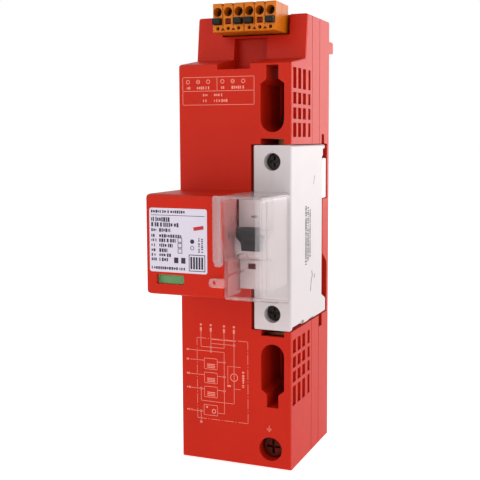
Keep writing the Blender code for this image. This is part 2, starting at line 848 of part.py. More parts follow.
def contact_place(pole):
    """Middle and half width of a bar contact; the neutral one stands beside the earth link."""
    if pole == "n":
        return GAP_X + GAP_RADIUS + CLEAR + LINK_THICK / 2 - NEUTRAL_CONTACT_HALF, NEUTRAL_CONTACT_HALF
    return GAP_X, CONTACT_WIDTH / 2


def housing_screws():
    """Four screws from the back through the base into the cover's bosses."""
    for name, (x, z) in fixing_places().items():
        head_y = BASE_WALL_Y - SCREW_SINK + CLEAR
        shank = SCREW_LENGTH - SCREW_HEAD_THICK
        screw = turned(
            "housing_screw_" + name,
            (x, head_y - shank, z),
            [
                (0, 0),
                (SCREW_RADIUS * 0.5, 0),
                (SCREW_RADIUS, SCREW_POINT),
                (SCREW_RADIUS, shank),
                (SCREW_HEAD, shank),
                (SCREW_HEAD, SCREW_LENGTH),
                (0, SCREW_LENGTH + 0.4),
            ],
            14,
        )
        dress(screw, STEEL)


def surge_gaps():
    """Four encapsulated surge gaps, one for each busbar, turned shapes with grooved flanks."""
    length = GAP_BACK_Y - GAP_FRONT_Y
    for pole in BAR_POLES:
        name = "surge_gap_n_pe" if pole == "n" else "surge_gap_" + pole
        profile = [(0, 0), (GAP_RADIUS - 6, 0), (GAP_RADIUS - 6, 2.5), (GAP_RADIUS - 1, 2.5)]
        profile.append((GAP_RADIUS, 3.5))
        grooves = 3
        step = (length - 7) / grooves
        for k in range(grooves):
            start = 3.5 + k * step
            profile += [
                (GAP_RADIUS, start + step * 0.35),
                (GAP_RADIUS - GAP_GROOVE, start + step * 0.45),
                (GAP_RADIUS - GAP_GROOVE, start + step * 0.75),
                (GAP_RADIUS, start + step * 0.85),
            ]
        profile += [(GAP_RADIUS, length - 3.5), (GAP_RADIUS - 1, length - 2.5)]
        profile += [(GAP_RADIUS - 6, length - 2.5), (GAP_RADIUS - 6, length), (0, length)]
        gap = turned(name, (GAP_X, GAP_FRONT_Y, bar_z(pole)), profile, 20)
        dress(gap, CERAMIC)


def bar_contacts():
    """Bowed copper springs that reach through the base's back onto the busbars."""
    for pole in BAR_POLES:
        x, half = contact_place(pole)
        z = bar_z(pole)
        front = GAP_BACK_Y + CLEAR
        if pole == "n":
            front += LINK_THICK + CLEAR
        reach = CONTACT_REACH_Z - CONTACT_SPRING
        bow = [(BASE_WALL_Y - 1.5, z - reach), (DEPTH, z - reach * 0.55), (DEPTH + CONTACT_BOW, z)]
        bow += [(DEPTH, z + reach * 0.55), (BASE_WALL_Y - 1.5, z + reach)]
        path = [(front, z - 6.5), (front, z + CONTACT_REACH_Z), (front + 2.5, z + CONTACT_REACH_Z)]
        path += list(reversed(bow))
        contact = slab(
            "bar_contact_" + pole, "X", (x - half, x + half), ribbon(path, CONTACT_THICK)
        )
        dress(contact, COPPER)


def neutral_link():
    """A folded strip across the fronts of the gaps, with a leg back to the neutral contact."""
    back = GAP_FRONT_Y - CLEAR
    leg_x = GAP_X + GAP_RADIUS + CLEAR
    n_z = bar_z("n")
    zs = (n_z - LINK_WIDTH / 2, bar_z("l1") + LINK_WIDTH / 2)
    link = block("neutral_link", (GAP_X - 6, GAP_X + 6), (back - LINK_THICK, back), zs)
    leg_zs = (n_z - LINK_WIDTH / 2, n_z + LINK_WIDTH / 2)
    across = block("across", (GAP_X + 5, leg_x + LINK_THICK), (back - LINK_THICK, back), leg_zs)
    leg_end = GAP_BACK_Y + LINK_THICK + CLEAR
    leg = block("leg", (leg_x, leg_x + LINK_THICK), (back - LINK_THICK, leg_end), leg_zs)
    join(link, across, leg)
    dress(link, COPPER)


def earth_link():
    """A folded strip from the neutral-to-earth gap down and forward to the earth clamp."""
    back = GAP_BACK_Y + CLEAR
    low = EARTH_STRAP_Z
    tongue_y = EARTH_TONGUE_Y
    tongue_x = (EARTH_CLAMP_X - 3.6, EARTH_CLAMP_X + 3.6)
    plate_right = GAP_X + 4.0
    link = block(
        "earth_link",
        (GAP_X - 8, plate_right),
        (back, back + LINK_THICK),
        (low, bar_z("n") + 6),
    )
    across = block(
        "across", (GAP_X - 8, tongue_x[1]), (back - 8, back + LINK_THICK), (low, low + LINK_THICK)
    )
    forward = block("forward", tongue_x, (tongue_y, back), (low, low + LINK_THICK))
    tongue = block("tongue", tongue_x, (tongue_y, tongue_y + LINK_THICK), (3.0, low + LINK_THICK))
    join(link, across, forward, tongue)
    dress(link, COPPER)


def clamp(prefix, x, z, shaft, depth, tongue_y):
    """A rising-cage clamp: the screw's tip stands on a fixed tongue and draws the cage forward."""
    half_height = shaft / 2
    head_radius = shaft / 2 - CLEAR
    shank_radius = shaft * THROAT_SHARE - CLEAR
    head_y = depth - SHAFT_STEP - CLEAR
    head_thick = shaft * HEAD_SHARE
    tip_y = tongue_y - CLEAR
    screw = turned(
        prefix + "_clamp_screw",
        (x, head_y - head_thick, z),
        [
            (0, 0),
            (head_radius * 0.92, 0),
            (head_radius, head_thick * 0.25),
            (head_radius, head_thick),
            (shank_radius, head_thick),
            (shank_radius, tip_y - head_y + head_thick - 0.6),
            (shank_radius * 0.7, tip_y - head_y + head_thick),
            (0, tip_y - head_y + head_thick),
        ],
        24,
    )
    driven = head_thick * 0.55
    arm = head_radius * 0.62
    slots = []
    for half_x, half_z in ((arm, DRIVE_SLOT), (DRIVE_SLOT, arm)):
        slots.append(
            block(
                prefix + "_slot",
                (x - half_x, x + half_x),
                (head_y - head_thick - PAST, head_y - head_thick + driven),
                (z - half_z, z + half_z),
            )
        )
    cut(screw, *slots)
    dress(screw, STEEL)
    cage_front = depth + CLEAR + CAGE_TRAVEL
    half_width = shaft * CAGE_SHARE
    cage = block(
        prefix + "_clamp_cage",
        (x - half_width, x + half_width),
        (cage_front, tongue_y + LINK_THICK + CAGE_JAW + CAGE_SHEET),
        (z - half_height, z + half_height),
    )
    way = block(
        prefix + "_cage_way",
        (x - half_width + CAGE_SHEET, x + half_width - CAGE_SHEET),
        (tongue_y - 3 * CLEAR, tongue_y + LINK_THICK + CAGE_JAW),
        (z - half_height - PAST, z + half_height + PAST),
    )
    hole = rod(
        prefix + "_cage_hole",
        "Y",
        (cage_front - PAST, tongue_y),
        (x, z),
        shank_radius + CLEAR,
        20,
    )
    cut(cage, way, hole)
    dress(cage, STEEL)


def locking_slides():
    """Two slides, worked through the keyholes, whose hooks hold behind the outer busbars."""
    front = GUIDE_FRONT_Y - CLEAR - SLIDE_THICK
    back = GUIDE_FRONT_Y - CLEAR
    tip_back = DEPTH + BAR_THICK + CLEAR + SLIDE_TIP
    for sign, name in ((1, "upper"), (-1, "lower")):
        hook, far = slide_zs(sign)
        inner = far + sign * (SLIDE_END - SLIDE_LENGTH)
        grip_low = inner + sign * 1.0
        grip_high = grip_low + sign * SLIDE_GRIP
        outline = [
            (back, inner),
            (front, inner),
            (front, grip_low),
            (front - SLIDE_GRIP_REACH, grip_low + sign * 0.8),
            (front - SLIDE_GRIP_REACH, grip_high),
            (front, grip_high),
            (front, far + sign * SLIDE_END),
            (back, far + sign * SLIDE_END),
            (back, far),
            (tip_back, far),
            (tip_back, hook - sign * SLIDE_BITE * 0.5),
            (tip_back - SLIDE_TIP * 0.6, hook - sign * SLIDE_BITE),
            (tip_back - SLIDE_TIP, hook - sign * SLIDE_BITE),
            (tip_back - SLIDE_TIP, hook),
            (back, hook),
        ]
        half = SLIDE_WIDTH / 2
        slide = slab(
            "locking_slide_" + name, "X", (KEYHOLE_X - half, KEYHOLE_X + half), outline
        )
        dress(slide, DARK)


def breaker_outline():
    """Side view of the breaker's body, with the step for its rail catch and its lower heel."""
    low, high = BREAKER_LOW_Z, BREAKER_HIGH_Z
    return [
        (0, low),
        (0, high),
        (48.1, high),
        (48.1, high - 2.0),
        (45.3, high - 2.2),
        (45.3, high - 5.6),
        (BREAKER_BACK_Y, high - 5.9),
        (BREAKER_BACK_Y, low + 9.6),
        (BREAKER_HEEL_Y, low + 6.8),
        (BREAKER_HEEL_Y, low),
        (16.5, low),
        (16.0, low + 1.0),
        (2.5, low + 1.0),
        (2.0, low),
    ]


def breaker_hollow():
    """The room inside the breaker's shells, less the walls round its screw shafts."""
    wall = BREAKER_WALL
    xs = (BREAKER_X + wall, WIDTH - wall)
    hollow = block(
        "breaker_hollow",
        xs,
        (wall, BREAKER_BACK_Y - wall),
        (BREAKER_LOW_Z + wall + 1.0, BREAKER_HIGH_Z - wall),
    )
    nose_right = BREAKER_X + BREAKER_NOSE_WIDTH - wall
    nose = block(
        "breaker_nose_hollow",
        (xs[0], nose_right),
        (wall - BREAKER_NOSE_REACH, wall + PAST),
        (BREAKER_NOSE_LOW_Z + wall, BREAKER_NOSE_HIGH_Z - wall),
    )
    drum = rod(
        "drum_room", "X", (xs[0], nose_right), (DOME_Y, DOME_Z), BARREL_RADIUS + CLEAR, 32
    )
    join(hollow, nose, drum)
    cut(
        hollow,
        clamp_block("upper", BREAKER_CLAMP_X, UPPER_CLAMP_Z, BREAKER_SHAFT, BREAKER_SHAFT_DEPTH),
        clamp_block("lower", BREAKER_CLAMP_X, LOWER_CLAMP_Z, BREAKER_SHAFT, BREAKER_SHAFT_DEPTH),
    )
    return bake(hollow)


def breaker_shell(name, xs, hollow_mesh):
    """One half of the breaker's casing."""
    shell = slab(name, "X", xs, breaker_outline())
    outer_x = xs[0] if near(xs[0], BREAKER_X) else xs[1]
    round_edges(
        shell,
        BREAKER_ROUND,
        lambda a, b: near(a.x, outer_x) and near(b.x, outer_x),
        1,
    )
    nose_xs = (xs[0], min(xs[1], BREAKER_X + BREAKER_NOSE_WIDTH))
    nose = block(
        name + "_nose",
        nose_xs,
        (-BREAKER_NOSE_REACH, BREAKER_WALL),
        (BREAKER_NOSE_LOW_Z, BREAKER_NOSE_HIGH_Z),
    )
    dome = rod(name + "_dome", "X", nose_xs, (DOME_Y, DOME_Z), DOME_RADIUS, 32)
    hollow = add_object(name + "_hollow", hollow_mesh)
    join(shell, nose, dome)
    cut(shell, hollow)
    slot_left = TOGGLE_LEFT_X - TOGGLE_SLOT_CLEAR
    slot_right = TOGGLE_LEFT_X + TOGGLE_WIDTH + TOGGLE_SLOT_CLEAR
    openings = [
        block(
            name + "_toggle_slot",
            (slot_left, slot_right),
            (DOME_Y - DOME_RADIUS - PAST, DOME_Y),
            (DOME_Z - DOME_RADIUS, DOME_Z + DOME_RADIUS),
        ),
        block(
            name + "_indicator_window",
            (INDICATOR_X, INDICATOR_X + INDICATOR_WIDTH),
            (-BREAKER_NOSE_REACH - PAST, BREAKER_WALL - BREAKER_NOSE_REACH + PAST / 2),
            (INDICATOR_Z, INDICATOR_Z + INDICATOR_HEIGHT),
        ),
    ]
    for side, z in (("upper", UPPER_CLAMP_Z), ("lower", LOWER_CLAMP_Z)):
        openings += clamp_shaft(
            name + "_" + side, BREAKER_CLAMP_X, z, BREAKER_SHAFT, BREAKER_SHAFT_DEPTH
        )
        edge = BREAKER_HIGH_Z if side == "upper" else BREAKER_LOW_Z + 1.0
        openings.append(
            block(
                name + "_" + side + "_entry",
                (BREAKER_CLAMP_X - CABLE_WAY / 2, BREAKER_CLAMP_X + CABLE_WAY / 2),
                CABLE_DEPTH,
                (edge - 2.5, edge + 2.5),
            )
        )
    cut(shell, *openings)
    return dress(shell, GREY)


def breaker():
    """The breaker's two shells, its rail catch, toggle, indicator and inner works."""
    hollow = breaker_hollow()
    middle = MIDDLE_X
    left_xs = (BREAKER_X, middle - HALF_GAP / 2)
    right_xs = (middle + HALF_GAP / 2, WIDTH)
    breaker_shell("breaker_shell_left", left_xs, hollow.data)
    breaker_shell("breaker_shell_right", right_xs, hollow.data.copy())
    bpy.data.objects.remove(hollow, do_unlink=True)

    catch_back = BAY_BACK_Y - CLEAR
    catch_outline = [
        (BREAKER_BACK_Y + CLEAR, RIB_HIGH_Z + CLEAR),
        (catch_back, RIB_HIGH_Z + CLEAR),
        (catch_back, CATCH_HIGH_Z - CLEAR),
        (BREAKER_BACK_Y + 2.4, CATCH_HIGH_Z),
        (BREAKER_BACK_Y + CLEAR, CATCH_HIGH_Z - 1.9),
    ]
    catch = slab(
        "breaker_rail_catch", "X", (BREAKER_X + 1.2, WIDTH - 0.4), catch_outline
    )
    dress(catch, WHITE)

    for side, z in (("upper", UPPER_CLAMP_Z), ("lower", LOWER_CLAMP_Z)):
        clamp(
            "breaker_" + side,
            BREAKER_CLAMP_X,
            z,
            BREAKER_SHAFT,
            BREAKER_SHAFT_DEPTH,
            BREAKER_TONGUE_Y,
        )
    toggle()
    indicator()
    trip_works()


def toggle():
    """The toggle: a drum in the dome with a handle, standing at ON."""
    right = TOGGLE_LEFT_X + TOGGLE_WIDTH
    lever = rod(
        "breaker_toggle", "X", (TOGGLE_LEFT_X, right), (DOME_Y, DOME_Z), BARREL_RADIUS, 32
    )
    grip = [
        (DOME_Y - 1.0, DOME_Z - 2.0),
        (DOME_Y - 4.5, DOME_Z - 1.6),
        (DOME_Y - 7.8, DOME_Z - 0.8),
        (DOME_Y - 10.9, DOME_Z + 4.2),
        (DOME_Y - 11.2, DOME_Z + 7.8),
        (DOME_Y - 10.2, DOME_Z + 8.6),
        (DOME_Y - 7.4, DOME_Z + 8.3),
        (DOME_Y - 2.0, DOME_Z + 4.2),
    ]
    handle = slab("handle", "X", (TOGGLE_LEFT_X, right), grip)
    pad = [
        (DOME_Y - 9.3, DOME_Z + 4.4),
        (DOME_Y - 10.95, DOME_Z + 4.4),
        (DOME_Y - 11.2, DOME_Z + 7.8),
        (DOME_Y - 10.2, DOME_Z + 8.55),
        (DOME_Y - 7.6, DOME_Z + 8.3),
        (DOME_Y - 7.4, DOME_Z + 5.9),
    ]
    wing = slab("wing", "X", (TOGGLE_LEFT_X - TOGGLE_TIP_LEFT, TOGGLE_LEFT_X + 1.0), pad)
    join(lever, handle, wing)
    bake(lever)
    smooth(lever, 40)
    hang_on(lever, TOGGLE_X, DOME_Y, DOME_Z)
    dress(lever, DARK)


def indicator():
    """The red and green flag behind the breaker's small window."""
    front = BREAKER_WALL - BREAKER_NOSE_REACH + CLEAR
    low = INDICATOR_Z - 1.0
    flag = block(
        "breaker_indicator",
        (INDICATOR_X - 1.0, INDICATOR_X + INDICATOR_WIDTH - 0.2),
        (front, front + 1.0),
        (low, low + INDICATOR_HEIGHT + 2 * INDICATOR_TRAVEL - 3.6),
    )
    dress(flag, SIGNAL_RED)


def trip_works():
    """Coil, bimetal, arc chute and contacts, held between the shells."""
    room = (BREAKER_X + BREAKER_WALL + CLEAR, WIDTH - BREAKER_WALL - CLEAR)
    coil_z = 118.0
    coil = block("breaker_trip_coil", room, (6.0, 8.0), (coil_z - 9, coil_z + 9))
    yoke_low = block("yoke_low", room, (6.0, 20.0), (coil_z - 9, coil_z - 7.5))
    yoke_high = block("yoke_high", room, (6.0, 20.0), (coil_z + 7.5, coil_z + 9))
    windings = []
    for k in range(6):
        z = coil_z - 6.2 + k * 2.48
        windings.append(rod("turn", "Z", (z - 0.95, z + 0.95), (MIDDLE_X, 14.0), 5.4, 12))
    core = rod("core", "Z", (coil_z - 8, coil_z + 8), (MIDDLE_X, 14.0), 4.4, 12)
    join(coil, yoke_low, yoke_high, core, *windings)
    dress(coil, COPPER)

    strip = ribbon([(11.0, 100.4), (11.0, 88.0), (8.5, 80.0)], 0.9)
    bimetal = slab("breaker_bimetal", "X", (MIDDLE_X - 3.5, room[1]), strip)
    dress(bimetal, STEEL)

    chute = block("breaker_arc_chute", room, (40.6, 42.4), (78.0, 104.0))
    plates = 9
    pitch = (26.0 - 1.0) / (plates - 1)
    fins = [
        block("plate", room, (24.0, 41.0), (78.0 + k * pitch, 79.0 + k * pitch))
        for k in range(plates)
    ]
    join(chute, *fins)
    dress(chute, STEEL)

    post = ribbon([(21.0, 106.5), (38.0, 106.5), (38.0, 112.0)], 1.2)
    fixed = slab("breaker_fixed_contact", "X", (MIDDLE_X - 2.5, room[1]), post)
    rivet = block("rivet", (MIDDLE_X - 2.0, MIDDLE_X + 2.0), (21.5, 24.0), (104.2, 106.0))
    join(fixed, rivet)
    dress(fixed, COPPER)

    arm_path = [(23.8, 102.3), (21.0, 103.2), (4.5, 103.2)]
    arm = slab("breaker_moving_contact", "X", (room[0], MIDDLE_X + 2.0), ribbon(arm_path, -1.4))
    hang_on(arm, MIDDLE_X, 5.5, 102.5)
    dress(arm, COPPER)


def supply_links():
    """Copper strips from a busbar contact to the breaker and from the breaker to the plugs."""
    xs = (BREAKER_CLAMP_X - LEAD_WIDTH / 2, BREAKER_CLAMP_X + LEAD_WIDTH / 2)
    tongue = (BREAKER_TONGUE_Y, BREAKER_TONGUE_Y + LEAD_THICK)
    low = BAY_LOW_Z - WALL - CLEAR - LEAD_THICK
    left = GAP_X + GAP_RADIUS - 5.0
    right = BAY_X - BAY_WALL - 2 * WIRE_RADIUS - 1.1
    feed = block("feed_link", xs, tongue, (low, LOWER_CLAMP_Z + 4.0))
    contact_back = GAP_BACK_Y + CLEAR + CONTACT_THICK + CLEAR
    parts = [
        block("run", (left, xs[1]), (8.0, tongue[1]), (low, low + LEAD_THICK)),
        block("back_run", (left, right), (8.0, contact_back + LEAD_THICK), (low, low + LEAD_THICK)),
        block(
            "riser",
            (GAP_X - 4.0, right),
            (contact_back, contact_back + LEAD_THICK),
            (low, bar_z("l3") - CONTACT_REACH_Z + 6.0),
        ),
    ]
    dress(join(feed, *parts), COPPER)

    high = BAY_HIGH_Z + WALL + CLEAR
    out = block("outlet_link", xs, tongue, (UPPER_CLAMP_Z - 4.0, high + LEAD_THICK))
    riser_x = GAP_X + GAP_RADIUS + 1.2
    board_front = BOARD_Y - CLEAR
    parts = [
        block("run", (riser_x, xs[1]), (8.0, tongue[1]), (high, high + LEAD_THICK)),
        block("back_run", (riser_x, riser_x + 5.0), (8.0, board_front), (high, high + LEAD_THICK)),
        block(
            "riser",
            (riser_x, riser_x + LEAD_THICK),
            (CHANNEL_BACK_Y + WALL + CLEAR, board_front),
            (high, CHANNEL_Z[0] + 4.0),
        ),
    ]
    dress(join(out, *parts), COPPER)


def eased(path, steps=2):
    """Points of a smooth curve through the route's own points."""
    spots = [Vector(spot) for spot in path]
    ends = [2 * spots[0] - spots[1], *spots, 2 * spots[-1] - spots[-2]]
    route = []
    for before, start, end, after in zip(ends, ends[1:], ends[2:], ends[3:]):
        for k in range(steps):
            t = k / steps
            leave = (end - before) / 2
            arrive = (after - start) / 2
            rise = 3 * t**2 - 2 * t**3
            pull = t**3 - 2 * t**2 + t
            push = t**3 - t**2
            route.append(start.lerp(end, rise) + leave * pull + arrive * push)
    return [*route, spots[-1]]


def wire(name, path):
    """An insulated wire along a hand-laid route."""
    curve = bpy.data.curves.new(name, "CURVE")
    curve.dimensions = "3D"
    curve.bevel_depth = WIRE_RADIUS * MM
    curve.bevel_resolution = 2
    curve.use_fill_caps = True
    route = eased(path)
    spline = curve.splines.new("POLY")
    spline.points.add(len(route) - 1)
    for place, spot in zip(spline.points, route):
        place.co = (*point(*spot), 1.0)
    lead = add_object(name, curve)
    lead.data.materials.append(WIRE)


def wires():
    """Neutral and earth wires up between the gaps and the bay to the back of the supply board."""
    lane = BAY_X - BAY_WALL - CLEAR - WIRE_RADIUS
    board_back = BOARD_Y + BOARD_THICK + CLEAR + WIRE_RADIUS
    board_low = CHANNEL_Z[0] - 1.0
    strap_top = EARTH_STRAP_Z + LINK_THICK + CLEAR
    for name, y, start_z, end_x in (
        ("neutral_wire", 34.5, bar_z("n"), lane - 6.0),
        ("earth_wire", 41.0, strap_top, lane),
    ):
        wire(
            name,
            [
                (lane + 0.6, y, start_z),
                (lane + 0.6, y, BAY_LOW_Z - 16.0),
                (lane, y, BAY_LOW_Z - 6.0),
                (lane, y, MIDDLE_Z),
                (lane, y, BAY_HIGH_Z + 4.0),
                ((lane + end_x) / 2, (y + board_back) / 2 + 1.0, board_low - 8.0),
                (end_x, board_back + 0.4, board_low),
                (end_x, board_back, board_low + 8.0),
            ],
        )


def supply_board():
    """The board behind the plugs that carries their headers."""
    board = block(
        "supply_board",
        (PLUG_LEFT_X - 1.2, PLUG_LEFT_X + 2 * PLUG_WIDTH + 0.4),
        (BOARD_Y, BOARD_Y + BOARD_THICK),
        (CHANNEL_Z[0] - CLEAR, HEIGHT - WALL - CLEAR),
    )
    dress(board, BOARD)


def monitor_board():
    """The board across the root of the nose that watches the surge gaps."""
    board = block(
        "monitor_board",
        (WALL + CLEAR, NOSE_WIDTH - WALL - 1.6),
        (MONITOR_Y, MONITOR_Y + BOARD_THICK),
        (NOSE_LOW_Z + WALL + CLEAR, NOSE_HIGH_Z - WALL - CLEAR),
    )
    dress(board, BOARD)


def status_parts():
    """The status lens, the green flag that slides away and the red field behind it."""
    front = -NOSE_REACH + WINDOW_SINK
    lens = block(
        "status_window",
        (WINDOW_X + CLEAR / 2, WINDOW_X + WINDOW_WIDTH - CLEAR / 2),
        (front, front + LENS_THICK),
        (WINDOW_Z + CLEAR / 2, WINDOW_Z + WINDOW_HEIGHT - CLEAR / 2),
    )
    dress(lens, CLEAR_PLASTIC)
    flag_y = WALL - NOSE_REACH + CLEAR
    flag_z = NOSE_LOW_Z + WALL + CLEAR
    flag = block(
        "status_flag",
        (WINDOW_X - FLAG_MARGIN, WINDOW_X + WINDOW_WIDTH + FLAG_MARGIN),
        (flag_y, flag_y + FLAG_THICK),
        (flag_z, flag_z + FLAG_HEIGHT),
    )
    dress(flag, GREEN)
    field_y = flag_y + FLAG_THICK + CLEAR
    field = block(
        "status_field",
        (WALL + CLEAR, NOSE_WIDTH - WALL - CLEAR),
        (field_y, field_y + FLAG_THICK),
        (flag_z, flag_z + FLAG_HEIGHT),
    )
    dress(field, SIGNAL_RED)


def plug(name, left):
    """A three-pole plug with round wire entries, button pockets and test holes."""
    xs = (left + PLUG_GAP / 2, left + PLUG_WIDTH - PLUG_GAP / 2)
    body = block(name, xs, (PLUG_FRONT_Y, PLUG_SHOULDER_Y), (PLUG_LOW_Z, PLUG_HIGH_Z))
    round_edges(
        body, 0.4, lambda a, b: near(a.y, PLUG_FRONT_Y) and near(b.y, PLUG_FRONT_Y), 1
    )
    inner = block(
        "tongue",
        (xs[0] + PLUG_LIP, xs[1] - PLUG_LIP),
        (PLUG_SHOULDER_Y - PAST, PLUG_BACK_Y - HEADER_BACK - CLEAR),
        (PLUG_LOW_Z + PLUG_LIP, PLUG_HIGH_Z - PLUG_LIP - 0.4),
    )
    join(body, inner)
    holes = []
    for pole in range(POLES):
        x = left + POLE_PITCH * (pole + 0.5)
        holes.append(
            rod("wire_hole", "Y", (0, PLUG_FRONT_Y + 7), (x, WIRE_HOLE_Z), WIRE_HOLE / 2, 20)
        )
        holes.append(
            rod("test_hole", "Y", (0, PLUG_FRONT_Y + 4), (x, TEST_HOLE_Z), TEST_HOLE / 2, 12)
        )
        half = PIN / 2 + CLEAR
        holes.append(
            block(
                "socket",
                (x - half, x + half),
                (PLUG_BACK_Y - PIN_LENGTH - PAST, PLUG_BACK_Y + PAST),
                (PIN_Z - half, PIN_Z + half),
            )
        )
        pocket = BUTTON_WIDTH / 2 + BUTTON_CLEAR
        shrink = 0.0 if has_button(pole) else 0.7
        holes.append(
            block(
                "pocket",
                (x - pocket + shrink, x + pocket - shrink),
                (0, PLUG_FRONT_Y + (BUTTON_SINK if has_button(pole) else 2.0)),
                (
                    BUTTON_Z - BUTTON_HEIGHT / 2 - BUTTON_CLEAR + shrink / 4,
                    BUTTON_Z + BUTTON_HEIGHT / 2 + BUTTON_CLEAR - shrink / 4,
                ),
            )
        )
    cut(body, *holes)
    return dress(body, ORANGE)


def has_button(pole):
    """Whether a pole has a push button; the middle pole has a plain window."""
    return pole != POLES // 2


def plug_buttons(name, left):
    """The buttons that open a plug's spring clamps."""
    for order, pole in enumerate(p for p in range(POLES) if has_button(p)):
        x = left + POLE_PITCH * (pole + 0.5)
        button = block(
            name + "_button_" + ("left", "right")[order],
            (x - BUTTON_WIDTH / 2, x + BUTTON_WIDTH / 2),
            (PLUG_FRONT_Y - BUTTON_PROUD, PLUG_FRONT_Y + BUTTON_SINK - BUTTON_TRAVEL - CLEAR),
            (BUTTON_Z - BUTTON_HEIGHT / 2, BUTTON_Z + BUTTON_HEIGHT / 2),
        )
        round_edges(
            button,
            0.3,
            lambda a, b: near(a.y, PLUG_FRONT_Y - BUTTON_PROUD)
            and near(b.y, PLUG_FRONT_Y - BUTTON_PROUD),
            1,
        )
        dress(button, BLACK)


def header(name, left):
    """The shrouded header on the supply board that a plug seats in."""
    xs = (left + PLUG_GAP / 2, left + PLUG_WIDTH - PLUG_GAP / 2)
    shroud = block(
        name, xs, (PLUG_SHOULDER_Y + CLEAR, PLUG_BACK_Y), (PLUG_LOW_Z, PLUG_HIGH_Z - 0.1)
    )
    room = block(
        name + "_room",
        (left + PLUG_LIP - CLEAR, left + PLUG_WIDTH - PLUG_LIP + CLEAR),
        (0, PLUG_BACK_Y - HEADER_BACK),
        (PLUG_LOW_Z + PLUG_LIP - CLEAR, PLUG_HIGH_Z - PLUG_LIP - 0.4 + CLEAR),
    )
    cut(shroud, room)
    back = block(
        name + "_back",
        xs,
        (PLUG_BACK_Y - HEADER_BACK / 2, BOARD_Y - CLEAR),
        (PLUG_LOW_Z, HEIGHT - WALL - CLEAR),
    )
    pins = [
        block(
            "pin",
            (left + POLE_PITCH * (pole + 0.5) - PIN / 2, left + POLE_PITCH * (pole + 0.5) + PIN / 2),
            (PLUG_BACK_Y - PIN_LENGTH, PLUG_BACK_Y),
            (PIN_Z - PIN / 2, PIN_Z + PIN / 2),
        )
        for pole in range(POLES)
    ]
    join(shroud, back, *pins)
    return dress(shroud, ORANGE)


def clear_hood():
    """The clear hood over the breaker's toggle, with its flange on the nose and sealing eyelet."""
    left = BREAKER_X
    back = -CLEAR
    side = [
        (HOOD_FRONT_Y, HOOD_LOW_Z),
        (HOOD_FRONT_Y, HOOD_HIGH_Z),
        (back, HOOD_HIGH_Z),
        (back, HOOD_HEEL_Z),
    ]
    hood = slab("clear_hood", "X", (left, HOOD_RIGHT_X), side)

    def front_edges(a, b):
        front = near(a.y, HOOD_FRONT_Y) and near(b.y, HOOD_FRONT_Y)
        right = near(a.x, HOOD_RIGHT_X) and near(b.x, HOOD_RIGHT_X)
        at_back = near(a.y, back) and near(b.y, back)
        return (front or right) and not at_back and not (near(a.x, left) and near(b.x, left))

    round_edges(hood, HOOD_ROUND, front_edges, 4)
    inside = [
        (HOOD_FRONT_Y + HOOD_WALL, HOOD_LOW_Z + HOOD_WALL * 0.8),
        (HOOD_FRONT_Y + HOOD_WALL, HOOD_HIGH_Z - HOOD_WALL),
        (back + PAST, HOOD_HIGH_Z - HOOD_WALL),
        (back + PAST, HOOD_HEEL_Z + HOOD_WALL - 0.2),
    ]
    room = slab("hood_room", "X", (left - PAST, HOOD_RIGHT_X - HOOD_WALL), inside)

    def inner_edges(a, b):
        front = near(a.y, HOOD_FRONT_Y + HOOD_WALL) and near(b.y, HOOD_FRONT_Y + HOOD_WALL)
        inner_x = HOOD_RIGHT_X - HOOD_WALL
        right = near(a.x, inner_x) and near(b.x, inner_x)
        at_back = near(a.y, back + PAST) and near(b.y, back + PAST)
        open_side = near(a.x, left - PAST) and near(b.x, left - PAST)
        return (front or right) and not at_back and not open_side

    round_edges(room, HOOD_ROUND - HOOD_WALL, inner_edges, 4)
    cut(hood, room)
    flange = slab(
        "flange",
        "Y",
        (HOOD_FRONT_Y, HOOD_FRONT_Y + HOOD_WALL),
        rounded((HOOD_FLANGE_X, left + 2.0), (HOOD_STEP_Z, HOOD_HIGH_Z), 0.9),
    )
    step_wall = block(
        "step_wall",
        (HOOD_STEP_X, HOOD_STEP_X + HOOD_WALL),
        (HOOD_FRONT_Y + HOOD_WALL / 2, HOOD_FRONT_Y + STEP_DEPTH),
        (HOOD_LOW_Z + 0.6, HOOD_STEP_Z - 4.0),
    )
    eyelet = slab(
        "eyelet",
        "Y",
        (HOOD_FRONT_Y, HOOD_FRONT_Y + HOOD_WALL),
        rounded((EYELET_X, HOOD_STEP_X + 1.0), (EYELET_Z, EYELET_Z + EYELET_HEIGHT), 1.4),
    )
    step = block(
        "step",
        (left - PAST, HOOD_STEP_X),
        (HOOD_FRONT_Y - PAST, HOOD_FRONT_Y + STEP_DEPTH),
        (HOOD_LOW_Z - PAST, HOOD_STEP_Z),
    )
    cut(hood, step)
    join(hood, flange, step_wall, eyelet)
    seal = rod(
        "seal_hole",
        "Y",
        (HOOD_FRONT_Y - PAST, HOOD_FRONT_Y + HOOD_WALL + PAST),
        (EYELET_X + EYELET_HOLE_X, EYELET_Z + EYELET_HEIGHT / 2),
        EYELET_HOLE,
        14,
    )
    cut(hood, seal)
    return dress(hood, CLEAR_PLASTIC)


def main():
    """Builds every piece at rest: breaker on, hood on, plugs seated, slides locked."""
    front_cover()
    rear_base()
    housing_screws()
    surge_gaps()
    bar_contacts()
    neutral_link()
    earth_link()
    clamp("earth", EARTH_CLAMP_X, EARTH_CLAMP_Z, EARTH_SHAFT, EARTH_SHAFT_DEPTH, EARTH_TONGUE_Y)
    locking_slides()
    breaker()
    supply_links()
    wires()
    supply_board()
    monitor_board()
    status_parts()
    for order, name in enumerate(("left", "right")):
        left = PLUG_LEFT_X + order * PLUG_WIDTH
        plug("plug_" + name, left)
        plug_buttons("plug_" + name, left)
        header("header_" + name, left)
    clear_hood()


main()
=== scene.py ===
"""Looks of a busbar surge arrester with a built-in circuit breaker.

Sizes are millimetres in the housing's own coordinates, as in the part's source: X from the left
side, Y from the main front face towards the busbars, Z from the foot.
"""

